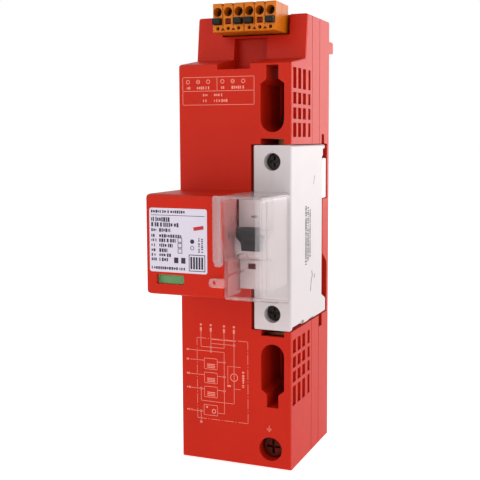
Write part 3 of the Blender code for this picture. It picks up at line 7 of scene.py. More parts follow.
import json
import logging
import math
import random
from collections.abc import Callable, Iterator, Sequence
from contextlib import contextmanager
from dataclasses import dataclass
from enum import Enum

import bmesh
import bpy
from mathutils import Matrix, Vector


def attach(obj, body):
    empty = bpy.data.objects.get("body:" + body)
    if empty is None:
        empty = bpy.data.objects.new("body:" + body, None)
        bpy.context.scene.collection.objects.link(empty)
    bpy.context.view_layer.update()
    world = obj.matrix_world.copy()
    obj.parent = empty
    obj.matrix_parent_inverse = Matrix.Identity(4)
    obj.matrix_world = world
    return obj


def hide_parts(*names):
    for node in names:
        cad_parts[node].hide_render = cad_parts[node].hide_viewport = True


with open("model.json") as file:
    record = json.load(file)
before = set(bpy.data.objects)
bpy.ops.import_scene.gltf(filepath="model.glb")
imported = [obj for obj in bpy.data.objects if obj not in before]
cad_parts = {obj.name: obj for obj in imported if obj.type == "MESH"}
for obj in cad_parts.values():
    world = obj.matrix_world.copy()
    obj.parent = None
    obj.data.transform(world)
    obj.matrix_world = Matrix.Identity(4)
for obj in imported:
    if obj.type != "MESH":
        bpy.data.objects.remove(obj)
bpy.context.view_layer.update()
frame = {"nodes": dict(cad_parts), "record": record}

LOG = logging.getLogger("surge_arrester")
MM = 0.001
WIDTH = 54.0
DEPTH = 54.8
NOSE_Y = -31.8
SMOOTH_ANGLE = math.radians(38.0)
FLAT_ANGLE = math.radians(1.0)
CORNER_STEPS = 5
DOT_SIDES = 20
UPRIGHT = (math.pi / 2, 0.0, 0.0)
INK = 0.03
PAST = 1.0

Span = tuple[float, float]
Place = tuple[float, float, float]
Piece = bpy.types.Object
Material = bpy.types.Material
Point = tuple[float, float]
Outline = Sequence[Point]
Test = Callable[[Vector, Vector], bool]
Tree = bpy.types.NodeTree
Node = bpy.types.Node
Socket = bpy.types.NodeSocket
Settings = dict[str | int, object]


def spot(x: float, y: float, z: float) -> Vector:
    """The place in the frame, in metres, of a place on the housing in millimetres."""
    return Vector((x - WIDTH / 2, y - DEPTH / 2, z)) * MM


def on_housing(place: Vector) -> Vector:
    """The place on the housing, in millimetres, of a place in the frame."""
    return place / MM + Vector((WIDTH / 2, DEPTH / 2, 0.0))


# Modelling by hand


def alone(piece: Piece) -> None:
    """Makes the piece the only one selected, and active."""
    bpy.ops.object.select_all(action="DESELECT")
    piece.select_set(True)
    bpy.context.view_layer.objects.active = piece


@contextmanager
def editing(piece: Piece) -> Iterator[None]:
    """Edit mode on one piece, with nothing selected at its start."""
    alone(piece)
    bpy.ops.object.mode_set(mode="EDIT")
    bpy.ops.mesh.select_all(action="DESELECT")
    try:
        yield
    finally:
        bpy.ops.object.mode_set(mode="OBJECT")


def pick_edges(test: Test, sharp: bool = False) -> None:
    """Selects the edges in edit mode, or the sharp ones, whose ends on the housing pass a test."""
    bpy.ops.mesh.select_mode(type="EDGE")
    bpy.ops.mesh.select_all(action="DESELECT")
    mesh = bpy.context.edit_object.data
    shape = bmesh.from_edit_mesh(mesh)
    for edge in shape.edges:
        passes = test(*(on_housing(vert.co) for vert in edge.verts))
        edge.select_set(passes and (not sharp or edge.calc_face_angle(0.0) > SMOOTH_ANGLE))
    bmesh.update_edit_mesh(mesh)


def settle(name: str) -> Piece:
    """Names the new primitive and moves its place into its mesh."""
    piece = bpy.context.active_object
    piece.name = name
    bpy.ops.object.transform_apply(location=True, rotation=True, scale=True)
    return piece


def block(name: str, xs: Span, ys: Span, zs: Span) -> Piece:
    """A box between two values on each axis.

    Args:
        name: Name of the piece.
        xs: Lowest and highest X.
        ys: Lowest and highest Y.
        zs: Lowest and highest Z.

    Returns:
        The box, ready to be shaped.
    """
    low, high = spot(xs[0], ys[0], zs[0]), spot(xs[1], ys[1], zs[1])
    bpy.ops.object.select_all(action="DESELECT")
    bpy.ops.mesh.primitive_cube_add(size=1.0, location=(low + high) / 2, scale=high - low)
    return settle(name)


class Axis(Enum):
    """The way a rod or a prism runs, with the turn that brings Z there."""

    X = (0.0, math.pi / 2, 0.0)
    Y = (-math.pi / 2, 0.0, 0.0)

    def place(self, along: float, u: float, v: float) -> Vector:
        """A place from its way along the axis and the other two coordinates in X, Y, Z order."""
        return spot(along, u, v) if self is Axis.X else spot(u, along, v)


def rod(name: str, axis: Axis, span: Span, middle: Point, radius: float, sides: int = 32) -> Piece:
    """A cylinder along one axis.

    Args:
        name: Name of the piece.
        axis: The way it runs.
        span: Where it starts and ends along the axis.
        middle: Its other two coordinates.
        radius: Its radius.
        sides: Number of its flat sides.

    Returns:
        The cylinder.
    """
    bpy.ops.object.select_all(action="DESELECT")
    form = {"vertices": sides, "radius": radius * MM, "depth": (span[1] - span[0]) * MM}
    place = {"location": axis.place(sum(span) / 2, *middle), "rotation": axis.value}
    bpy.ops.mesh.primitive_cylinder_add(**form, **place)
    return settle(name)


def prism(name: str, axis: Axis, span: Span, outline: Outline) -> Piece:
    """A flat outline drawn out along one axis.

    Args:
        name: Name of the piece.
        axis: The way it is drawn out.
        span: Where it starts and ends along the axis.
        outline: Its corners, by the other two coordinates.

    Returns:
        The solid.
    """
    bpy.ops.object.select_all(action="DESELECT")
    bpy.ops.mesh.primitive_circle_add(vertices=len(outline), radius=MM, fill_type="NGON")
    piece = settle(name)
    for vert, (u, v) in zip(piece.data.vertices, outline):
        vert.co = axis.place(span[0], u, v)
    with editing(piece):
        bpy.ops.mesh.select_all(action="SELECT")
        move = axis.place(span[1], 0, 0) - axis.place(span[0], 0, 0)
        bpy.ops.mesh.extrude_region_move(TRANSFORM_OT_translate={"value": move})
        bpy.ops.mesh.select_all(action="SELECT")
        bpy.ops.mesh.normals_make_consistent(inside=False)
    return piece


def rounded(us: Span, vs: Span, radius: float) -> list[Point]:
    """The outline of a rectangle with rounded corners."""
    outline = []
    for u, v, start in ((us[1], vs[1], 0), (us[0], vs[1], 90), (us[0], vs[0], 180), (us[1], vs[0], 270)):
        inner_u = u - math.copysign(radius, u - sum(us) / 2)
        inner_v = v - math.copysign(radius, v - sum(vs) / 2)
        for k in range(CORNER_STEPS + 1):
            angle = math.radians(start + 90 * k / CORNER_STEPS)
            outline.append((inner_u + radius * math.cos(angle), inner_v + radius * math.sin(angle)))
    return outline


def apply_modifier(piece: Piece, kind: str, **settings: object) -> None:
    """Adds a modifier with its settings and applies it."""
    modifier = piece.modifiers.new(kind.lower(), kind)
    for key, value in settings.items():
        setattr(modifier, key, value)
    alone(piece)
    bpy.ops.object.modifier_apply(modifier=modifier.name)


def combine(piece: Piece, operation: str, tools: Sequence[Piece]) -> Piece:
    """Applies a Boolean with each tool and removes the tools."""
    for tool in tools:
        apply_modifier(piece, "BOOLEAN", operation=operation, object=tool, solver="EXACT")
        bpy.data.objects.remove(tool, do_unlink=True)
    return piece


def soften(piece: Piece, width: float, steps: int = 2) -> Piece:
    """Rounds the sharp edges of a piece."""
    limit = {"limit_method": "ANGLE", "angle_limit": SMOOTH_ANGLE}
    apply_modifier(piece, "BEVEL", width=width * MM, segments=steps, **limit)
    return piece


def refined(
    node: str,
    edge: float,
    steps: int = 2,
    rounds: Test | None = None,
    cuts: Sequence[Piece] = (),
) -> Piece:
    """A merged copy of a CAD node with its sharp edges rounded.

    Args:
        node: Name of the CAD node.
        edge: Width of the rounding.
        steps: Segments of the rounding.
        rounds: Says by its two ends on the housing whether a sharp edge is rounded.
        cuts: Tools that are cut out before the rounding.

    Returns:
        The copy, which still has to take the node's place.
    """
    piece = bpy.data.objects.new(node + "_dressed", frame["nodes"][node].data.copy())
    bpy.context.scene.collection.objects.link(piece)
    with editing(piece):
        bpy.ops.mesh.select_all(action="SELECT")
        bpy.ops.mesh.remove_doubles(threshold=MM / 1000)
        bpy.ops.mesh.dissolve_limited(angle_limit=FLAT_ANGLE)
    alone(piece)
    bpy.ops.mesh.customdata_custom_splitnormals_clear()
    combine(piece, "DIFFERENCE", cuts)
    if not edge:
        return piece
    if rounds is None:
        return soften(piece, edge, steps)
    with editing(piece):
        pick_edges(rounds, sharp=True)
        bpy.ops.mesh.bevel(offset=edge * MM, segments=steps, affect="EDGES", clamp_overlap=True)
    return piece


# Finishes


def linear(code: str) -> tuple[float, float, float, float]:
    """The linear colour of an sRGB hex value."""
    parts = [int(code[k : k + 2], 16) / 255 for k in (1, 3, 5)]
    return (*(p / 12.92 if p <= 0.04045 else ((p + 0.055) / 1.055) ** 2.4 for p in parts), 1.0)


def add(
    tree: Tree,
    kind: str,
    settings: Settings | None = None,
    links: dict[str | int, Socket] | None = None,
) -> Node:
    """Adds a node.

    Args:
        tree: The material's nodes.
        kind: The node's type, without ShaderNode in front.
        settings: Its properties, and the values of its sockets.
        links: The outputs that its sockets read.

    Returns:
        The node.
    """
    node = tree.nodes.new("ShaderNode" + kind)
    for key, value in (settings or {}).items():
        if isinstance(key, str) and hasattr(node, key):
            setattr(node, key, value)
        else:
            node.inputs[key].default_value = value
    for socket, source in (links or {}).items():
        tree.links.new(source, node.inputs[socket])
    return node


def blank(name: str) -> tuple[Material, Tree, Socket]:
    """A new material with an output and no shader, its nodes, and the Object coordinates."""
    material = bpy.data.materials.new(name)
    material.use_nodes = True
    tree = material.node_tree
    tree.nodes.clear()
    place = add(tree, "TexCoord").outputs["Object"]
    add(tree, "OutputMaterial")
    return material, tree, place


def show(tree: Tree, shader: Node) -> None:
    """Links a shader to the material's output."""
    output = next(node for node in tree.nodes if node.type == "OUTPUT_MATERIAL")
    tree.links.new(shader.outputs[0], output.inputs["Surface"])


def surface(
    tree: Tree,
    noise: Node,
    gloss: Span,
    relief: Span,
    settings: Settings,
    colour: Node | None = None,
) -> Node:
    """A shader whose gloss and height follow one noise.

    Args:
        tree: The material's nodes.
        noise: The noise.
        gloss: Roughness where the noise is lowest and highest.
        relief: Strength of the relief, and its depth in millimetres.
        settings: The shader's own settings.
        colour: The mix that gives its colour, where that isn't even.

    Returns:
        The shader.
    """
    height = noise.outputs["Fac"]
    rough = add(tree, "MapRange", {"To Min": gloss[0], "To Max": gloss[1]}, {"Value": height})
    depth = {"Strength": relief[0], "Distance": relief[1] * MM}
    bump = add(tree, "Bump", depth, {"Height": height})
    links = {"Roughness": rough.outputs[0], "Normal": bump.outputs[0]}
    if colour:
        links["Base Color"] = colour.outputs[2]
    return add(tree, "BsdfPrincipled", settings, links)


@dataclass(frozen=True)
class Moulded:
    """Injection-moulded plastic from a spark-eroded mould: a soft gloss over a fine even grain."""

    name: str
    colour: str
    deep: str
    roughness: float = 0.5
    grain: float = 0.7
    depth: float = 0.012
    shine: float = 0.35
    flow: float = 16.0

    def make(self) -> Material:
        """The material: broad, faint flow marks in the colour and grain in gloss and height."""
        material, tree, place = blank(self.name)
        wide = {"Scale": 1 / (self.flow * MM), "Detail": 3.0, "Roughness": 0.6}
        flow = add(tree, "TexNoise", wide, {"Vector": place})
        tones = {"data_type": "RGBA", 6: linear(self.colour), 7: linear(self.deep)}
        colour = add(tree, "Mix", tones, {"Factor": flow.outputs["Fac"]})
        # The real grain is about 0.05 mm, finer than the render shows, so it is drawn coarser.
        fine = {"Scale": 1 / (self.grain * MM), "Detail": 2.0}
        grain = add(tree, "TexNoise", fine, {"Vector": place})
        gloss = (self.roughness - 0.06, self.roughness + 0.06)
        light = {"IOR": 1.5, "Specular IOR Level": self.shine}
        show(tree, surface(tree, grain, gloss, (0.35, self.depth), light, colour))
        return material


@dataclass(frozen=True)
class Clear:
    """Moulded polycarbonate: glass clear with a faint milky haze, wavy where the melt met."""

    name: str
    colour: str
    through: float
    roughness: float = 0.06
    gloss: float = 0.5

    def make(self) -> Material:
        """The material: transmission that lets lamps reach what stands behind it."""
        material, tree, place = blank(self.name)
        wave = add(tree, "TexNoise", {"Scale": 1 / (9 * MM), "Detail": 1.0}, {"Vector": place})
        light = {
            "Base Color": linear(self.colour),
            "IOR": 1.03,
            "Transmission Weight": self.through,
            "Coat Weight": self.gloss,
            "Coat Roughness": 0.06,
        }
        gloss = (self.roughness - 0.02, self.roughness + 0.03)
        shader = surface(tree, wave, gloss, (0.25, 0.15), light)
        lamp = add(tree, "BsdfTransparent", {"Color": linear("#F4EFEF")})
        rays = add(tree, "LightPath")
        links = {0: rays.outputs["Is Shadow Ray"], 1: shader.outputs[0], 2: lamp.outputs[0]}
        show(tree, add(tree, "MixShader", links=links))
        return material


@dataclass(frozen=True)
class Metal:
    """Sheet or turned metal: fine drawing marks along one way and a duller, patchy film."""

    name: str
    colour: str
    dull: str
    roughness: float = 0.36
    mark: float = 0.35

    def make(self) -> Material:
        """The material: stretched noise in gloss and height, broad noise in the colour."""
        material, tree, place = blank(self.name)
        film = add(tree, "TexNoise", {"Scale": 1 / (5 * MM), "Detail": 4.0}, {"Vector": place})
        tones = {"data_type": "RGBA", 6: linear(self.colour), 7: linear(self.dull)}
        colour = add(tree, "Mix", tones, {"Factor": film.outputs["Fac"]})
        along = add(tree, "Mapping", {"Scale": (1.0, 0.08, 1.0)}, {"Vector": place})
        fine = {"Scale": 1 / (self.mark * MM), "Detail": 3.0}
        marks = add(tree, "TexNoise", fine, {"Vector": along.outputs[0]})
        gloss = (self.roughness - 0.1, self.roughness + 0.12)
        show(tree, surface(tree, marks, gloss, (0.3, 0.02), {"Metallic": 1.0}, colour))
        return material


RED = Moulded("red_polyamide", "#BA2008", "#B01B06", 0.42, shine=0.12).make()
BREAKER_GREY = Moulded("light_grey_polyamide", "#C8BFC0", "#C1B8B9", 0.4, shine=0.15).make()
TOGGLE_DARK = Moulded("anthracite_polyamide", "#1B171B", "#151215", 0.42, shine=0.15).make()
WHITE = Moulded("white_polyamide", "#DCDAD7", "#D2D0CC", 0.5).make()
FLAG_RED = Moulded("red_flag_plastic", "#6A1620", "#5C101A", 0.4, shine=0.15).make()
FLAG_GREEN = Moulded("green_flag_plastic", "#43893A", "#3A7A32", 0.4).make()
ORANGE = Moulded("orange_polybutylene", "#C46A0A", "#B85F06", 0.4, grain=0.5, shine=0.15).make()
BUTTON_BLACK = Moulded("black_polybutylene", "#0F1210", "#0A0C0A", 0.45, shine=0.15).make()
SLIDE_DARK = Moulded("dark_glass_filled_polyamide", "#241A1B", "#1C1314", 0.5).make()
COMPOUND = Moulded("dark_moulding_compound", "#302C28", "#262320", 0.6, grain=1.2).make()
BOARD_GREEN = Moulded("glass_fibre_board", "#1E5A36", "#184B2C", 0.4, grain=1.0).make()
WIRE_BLUE = Moulded("soft_wire_sleeve", "#24407F", "#1D3469", 0.45).make()
COPPER = Metal("rolled_copper", "#C98460", "#A9684A").make()
TINNED = Metal("tinned_copper", "#C9C4BB", "#A8A399", 0.3).make()
STEEL = Metal("zinc_plated_steel", "#A9A8A2", "#85847F").make()
# Dark zinc-plated steel; in the plugs' wire entries its darkness is painted shade.
DARK_STEEL_AND_PAINTED_SHADE = Metal("dark_zinc_plated_steel_and_painted_shade", "#3A3532", "#262221", 0.55).make()
HOOD_CLEAR = Clear("clear_polycarbonate", "#F4EFEF", 0.995, gloss=0.12).make()
# Partly real haze, partly painted light: the whiter hazes on the hood's walls, flange, knobs and edges
# stand for their sheen and edge highlights.
HOOD_HAZE_AND_HIGHLIGHT = Clear("hazy_polycarbonate_painted_highlight", "#EFE3E3", 0.92, 0.1, 0.7).make()
HOOD_HAZE_AND_SHEEN = Clear("milky_polycarbonate_painted_sheen", "#D6D0D1", 0.8, 0.08, 0.45).make()
# Painted highlight: a whiter, less clear polycarbonate on the hood's front right corner stands for the
# lamps' reflection along that rounded edge.
HOOD_PAINTED_HIGHLIGHT = Clear("polycarbonate_painted_highlight", "#E4DFE0", 0.8, 0.1, 0.5).make()
# Painted shade and painted reflection: the earth screw's steel is coloured dark red for the shade deep in
# its hole and the red walls it reflects.
EARTH_STEEL_SHADE_AND_REFLECTION = Metal("steel_painted_shade_and_red_reflection", "#5E2019", "#2E1410", 0.5).make()
LENS_CLEAR = Clear("clear_window_plastic", "#EEF4EC", 0.98, gloss=0.3).make()
LABEL_WHITE = Moulded("satin_label_film", "#CBC3D0", "#C5BDCA", 0.45, 1.5, 0.004, 0.3).make()
LABEL_INK = Moulded("grey_label_ink", "#3B3444", "#322C3A", 0.5, 0.4, 0.004, 0.15).make()
LABEL_RED = Moulded("red_label_ink", "#B4303A", "#AA2A34", 0.5, 0.4, 0.004, 0.15).make()
PALE_INK = Moulded("pale_pad_print", "#E08A7A", "#D88070", 0.5, 0.5, 0.004, 0.15).make()
GREY_INK = Moulded("grey_pad_print", "#383435", "#474344", 0.5, 0.5, 0.004, 0.15).make()
MARK_INK = Moulded("dark_red_mark", "#6A1408", "#5A1006", 0.5, 0.5, 0.004, 0.08).make()


SUBPARTS = {row["node"]: row["material_slot"] for row in frame["record"]["subparts"]}
BODY_OF = {node: body for body, nodes in frame["record"]["behaviour"]["bodies"].items() for node in nodes}


def deliver(
    piece: Piece, node: str, material: Material, replaces: bool = False
) -> None:
    """Finishes a piece: shading, material and body.

    Args:
        piece: The finished shape.
        node: The CAD node that it replaces, or that carries it.
        material: Its finish.
        replaces: Whether the node is hidden for it.
    """
    piece.data.materials.clear()
    piece.data.materials.append(material)
    alone(piece)
    bpy.ops.object.shade_smooth_by_angle(angle=SMOOTH_ANGLE)
    apply_modifier(piece, "WEIGHTED_NORMAL", keep_sharp=True)
    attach(piece, BODY_OF[node])
    if replaces:
        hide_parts(node)
    LOG.info("%s: %d faces on %s", piece.name, len(piece.data.polygons), BODY_OF[node])


def redress(node: str, edge: float, material: Material, steps: int = 2) -> None:
    """Puts a copy of a CAD node with rounded edges and a better finish in its place."""
    deliver(refined(node, edge, steps), node, material, replaces=True)


# Print


@dataclass(frozen=True)
class Bar:
    """A printed bar from one place to another."""

    start: Point
    end: Point
    width: float


@dataclass(frozen=True)
class Dot:
    """A printed dot, or a ring where it has a line width."""

    middle: Point
    radius: float
    line: float = 0.0


Marks = list[Bar | Dot]


class Side(Enum):
    """The face that print lies on, with its turn about Z."""

    FRONT = 0.0
    RIGHT = math.pi / 2


def printed(name: str, side: Side, level: float, marks: Marks) -> Piece:
    """Raised ink on one face.

    Args:
        name: Name of the piece.
        side: The face it lies on.
        level: Y of a front face, or X of the right side.
        marks: Bars and dots, by their two coordinates on the face.

    Returns:
        The print, a thin solid for each mark.
    """
    bpy.ops.object.select_all(action="DESELECT")
    bpy.ops.mesh.primitive_plane_add(size=MM)
    piece = settle(name)
    with editing(piece):
        bpy.ops.mesh.select_all(action="SELECT")
        bpy.ops.mesh.delete(type="VERT")
        for mark in marks:
            if isinstance(mark, Dot):
                u, v = mark.middle
                form = {"vertices": DOT_SIDES, "radius": mark.radius * MM, "fill_type": "NGON"}
                place = {"location": (u * MM, 0.0, v * MM), "rotation": UPRIGHT}
                bpy.ops.mesh.primitive_circle_add(**form, **place)
                if mark.line:
                    bpy.ops.mesh.inset(thickness=mark.line * MM)
                    bpy.ops.mesh.delete(type="FACE")
                continue
            run = Vector(mark.end) - Vector(mark.start)
            middle = (Vector(mark.end) + Vector(mark.start)) / 2
            centre = (middle.x * MM, 0.0, middle.y * MM)
            bpy.ops.mesh.primitive_plane_add(size=MM, location=centre, rotation=UPRIGHT)
            bpy.ops.transform.resize(value=(run.length, 1.0, mark.width), center_override=centre)
            turn = math.atan2(run.y, run.x)
            bpy.ops.transform.rotate(value=turn, orient_axis="Y", center_override=centre)
    apply_modifier(piece, "SOLIDIFY", thickness=INK * MM, offset=-1.0)
    piece.rotation_euler = (0.0, 0.0, side.value)
    piece.location = spot(0, level - INK, 0) if side is Side.FRONT else spot(level + INK, 0, 0)
    alone(piece)
    bpy.ops.object.transform_apply(location=True, rotation=True, scale=True)
    return piece


def route(points: Sequence[Point], width: float) -> list[Bar]:
    """Bars along a route of places, each a little longer so that corners close."""
    bars = []
    for start, end in zip(points, points[1:]):
        along = (Vector(end) - Vector(start)).normalized() * width / 2
        bars.append(Bar(tuple(Vector(start) - along), tuple(Vector(end) + along), width))
    return bars


def frame_bars(us: Span, vs: Span, width: float) -> list[Bar]:
    """The four lines of a rectangle."""
    corners = [(us[0], vs[0]), (us[1], vs[0]), (us[1], vs[1]), (us[0], vs[1]), (us[0], vs[0])]
    return route(corners, width)


def dashed(start: Point, end: Point, width: float, dash: float) -> list[Bar]:
    """A dash-dot line between two places."""
    first, last = Vector(start), Vector(end)
    along = (last - first).normalized()
    length = (last - first).length
    bars = []
    done = 0.0
    while done < length:
        for stretch in (dash, dash * 0.12):
            stop = min(done + stretch, length)
            if stop > done:
                bars.append(Bar(tuple(first + along * done), tuple(first + along * stop), width))
            done = stop + dash * 0.18
    return bars


def blocks_in_a_row(us: Span, v: float, height: float, seed: int, upright: bool = False) -> list[Bar]:
    """Small blocks of unlike widths, where the real print has words.

    Args:
        us: Where the row starts and ends.
        v: Its middle, across.
        height: Its height.
        seed: Seed of the widths.
        upright: Whether the row runs along the second coordinate.

    Returns:
        The blocks.
    """
    draw = random.Random(seed)
    blocks = []
    u = us[0]
    while u < us[1] - 0.3:
        wide = min(draw.uniform(0.4, 0.95), us[1] - u)
        tall = height * draw.choice((1.0, 1.0, 0.72))
        ends = ((u, v), (u + wide, v))
        if upright:
            ends = tuple((b, a) for a, b in ends)
        blocks.append(Bar(*ends, tall))
        u += wide + (0.28 if draw.random() < 0.82 else 0.7)
    return blocks


# The object's own pieces


@dataclass
class Housing:
    """The red cover and base: edges broken as a moulding tool breaks them."""

    edge: float = 0.35
    screw_edge: float = 0.12
    scoop_x: Span = (19.2, 35.0)
    scoop_wall: float = 1.6
    nose_side: float = 36.0
    nose_wall: float = 2.6
    joint_depth: float = 1.0
    rib_x: Span = (38.6, 40.9)
    rib_y: Span = (24.2, 27.7)
    rib_zs: tuple[Span, Span] = ((33.1, 57.3), (150.7, 174.9))

    def build(self) -> None:
        """Dresses the two shells and the screws that hold them."""
        cover = refined("front_cover", 0.0)
        self.open_scoop(cover)
        self.cut_nose_side(cover)
        self.close_shafts(cover)
        deliver(soften(cover, self.edge), "front_cover", RED, replaces=True)
        redress("rear_base", self.edge, RED)
        for corner in ("lower_left", "lower_right", "upper_left", "upper_right"):
            redress("housing_screw_" + corner, self.screw_edge, STEEL)

    def open_scoop(self, cover: Piece) -> None:
        """Runs the scoop back through the ledge into the wire channel, over a floor of its own."""
        floor = [(1.13, 177.75), (23.3, 177.75), (23.3, 183.2), (15.5, 183.2), (1.13, 180.9)]
        way = [(-1.0, 178.6), (19.5, 179.5), (22.9, 179.7), (22.9, 184.6), (-1.0, 184.6)]
        wide = (self.scoop_x[0] - self.scoop_wall, self.scoop_x[1] + self.scoop_wall)
        combine(cover, "UNION", (prism("scoop_floor", Axis.X, wide, floor),))
        combine(cover, "DIFFERENCE", (prism("scoop_way", Axis.X, self.scoop_x, way),))

    def close_shafts(self, cover: Piece) -> None:
        """Adds the ribs beside the locking slides that keep light out of the two shafts."""
        ribs = [block("rib", self.rib_x, self.rib_y, zs) for zs in self.rib_zs]
        combine(cover, "UNION", ribs)

    def cut_nose_side(self, cover: Piece) -> None:
        """Cuts the slot, the latch hole and the joint beside the breaker in the nose's right wall."""
        outside = self.nose_side + PAST / 2
        through = (self.nose_side - self.nose_wall, outside)
        cuts = (
            block("slot", through, (-20.3, -16.6), (111.1, 115.8)),
            block("latch_hole", through, (-27.0, -22.3), (106.9, 109.2)),
            block("joint", (self.nose_side - self.joint_depth, outside), (-17.9, -1.2), (83.9, 123.8)),
        )
        combine(cover, "DIFFERENCE", cuts)


@dataclass
class FrontPrint:
    """The pale print on the main face: a ruled box on top and a circuit diagram below."""

    level: float = 0.0
    line: float = 0.22
    box_x: Span = (2.2, 36.8)
    box_z: Span = (163.1, 175.3)
    box_rule_z: float = 169.2
    box_divider_x: float = 19.1
    frame_x: Span = (8.1, 33.4)
    frame_z: Span = (19.4, 57.2)
    bus_x: float = 21.7
    lead_x: tuple[float, float, float, float] = (10.1, 15.1, 21.7, 26.6)
    earth_sign_at: Point = (43.7, 18.2)

    def build(self) -> None:
        """Prints both."""
        for name, marks in (
            ("rating_box_print", self.rating_box()),
            ("circuit_print", self.circuit()),
            ("earth_sign", self.earth_sign()),
        ):
            deliver(printed(name, Side.FRONT, self.level, marks), "front_cover", PALE_INK)

    def earth_sign(self) -> Marks:
        """The sign for protective earth above its clamp."""
        x, z = self.earth_sign_at
        bars = [Bar((x, z), (x, z + 1.5), self.line)]
        for k, half in enumerate((1.25, 0.8, 0.35)):
            bars.append(Bar((x - half, z - 0.55 * k), (x + half, z - 0.55 * k), self.line))
        return bars

    def rating_box(self) -> Marks:
        """The ruled box with three terminal signs on each side."""
        marks: Marks = frame_bars(self.box_x, self.box_z, self.line)
        rule, divider = self.box_rule_z, self.box_divider_x
        marks += route([(self.box_x[0], rule), (self.box_x[1], rule)], self.line)
        marks += route([(divider, rule), (divider, self.box_z[1])], self.line)
        for half, left in enumerate((self.box_x[0] + 2.6, divider + 2.6)):
            for k in range(3):
                marks.append(Dot((left + 5.0 * k, 173.3), 0.95, 0.3))
            marks.append(Bar((left + 4.3, 173.3), (left + 5.7, 173.3), 0.3))
            marks += blocks_in_a_row((left - 0.6, left + 1.4), 170.6, 1.1, 3 + half)
            marks += blocks_in_a_row((left + 4.4, left + 10.6), 170.6, 1.3, 5 + half)
        for row, right in ((167.4, 21.6), (164.9, 24.4)):
            marks += blocks_in_a_row((12.2, 14.4), row, 1.1, int(row))
            marks += blocks_in_a_row((17.6, right), row, 1.3, int(row) + 1)
        return marks

    def circuit(self) -> Marks:
        """Four leads, three gaps to the common bus, one gap to earth and the breaker's box."""
        line, bus = self.line, self.bus_x
        left, right = self.frame_x
        low, high = self.frame_z
        one, two, three, four = self.lead_x
        marks: Marks = []
        borders = [((left, z), (right, z)) for z in (high, low)]
        borders += [((x, low), (x, high)) for x in (left, right)]
        for start, end in borders:
            marks += dashed(start, end, line * 0.9, 4.6)
        routes = (
            [(one, 60.6), (one, 53.2), (bus, 53.2)],
            [(two, 60.6), (two, 51.3)],
            [(three, 60.6), (three, 53.2)],
            [(four, 60.6), (four, 27.8), (10.0, 27.8), (10.0, 33.4)],
            [(two, 56.9), (27.4, 56.9)],
            [(two, 55.0), (four, 55.0)],
            [(4.6, 51.3), (bus, 51.3), (bus, 22.6), (18.2, 22.6)],
            [(9.9, 22.7), (9.9, 17.6)],
        )
        for points in routes:
            marks += route(points, line)
        for x in self.lead_x:
            marks.append(Bar((x, 60.4), (x, 62.2), 0.95))
            marks.append(Dot((x, 63.4), 0.55))
        for lead_z, box_z, bus_z in ((46.8, 42.9, 46.6), (40.0, 36.3, 39.9), (33.4, 29.7, 33.3)):
            marks += route([(4.6, lead_z), (11.7, lead_z)], line)
            marks += route([(18.2, bus_z), (bus, bus_z)], line)
            marks += frame_bars((11.7, 18.2), (box_z, box_z + 5.0), line)
            for k in range(3):
                marks.append(Bar((13.1, box_z + 0.8 + 0.75 * k), (17.1, box_z + 0.8 + 0.75 * k), 0.4))
            marks.append(Dot((bus, bus_z), 0.6))
        marks += route([(5.6, 22.7), (11.3, 22.7)], line)
        marks += frame_bars((11.4, 18.2), (21.2, 26.0), line)
        marks += [Dot((16.4, 23.2), 1.1, 0.4), Dot((12.9, 24.9), 0.5)]
        for middle in ((two, 51.3), (two, 53.2), (four, 55.0), (10.0, 33.4), (9.9, 22.7), (9.9, 17.6)):
            marks.append(Dot(middle, 0.62))
        marks += route([(23.5, 37.0), (23.5, 45.1), (29.7, 45.1)], line * 0.8)
        marks += route([(26.6, 34.8), (29.7, 34.8)], line * 0.8)
        marks += [Dot((26.6, 40.1), 1.9, 0.3), Bar((23.2, 36.0), (25.0, 36.0), 0.8)]
        marks += blocks_in_a_row((35.8, 43.9), 31.1, 1.0, 21, upright=True)
        for order, z in enumerate((51.3, 46.8, 40.1, 33.5, 22.9)):
            marks += blocks_in_a_row((2.7, 4.1 + 0.3 * order), z, 0.9, 30 + order)
        return marks


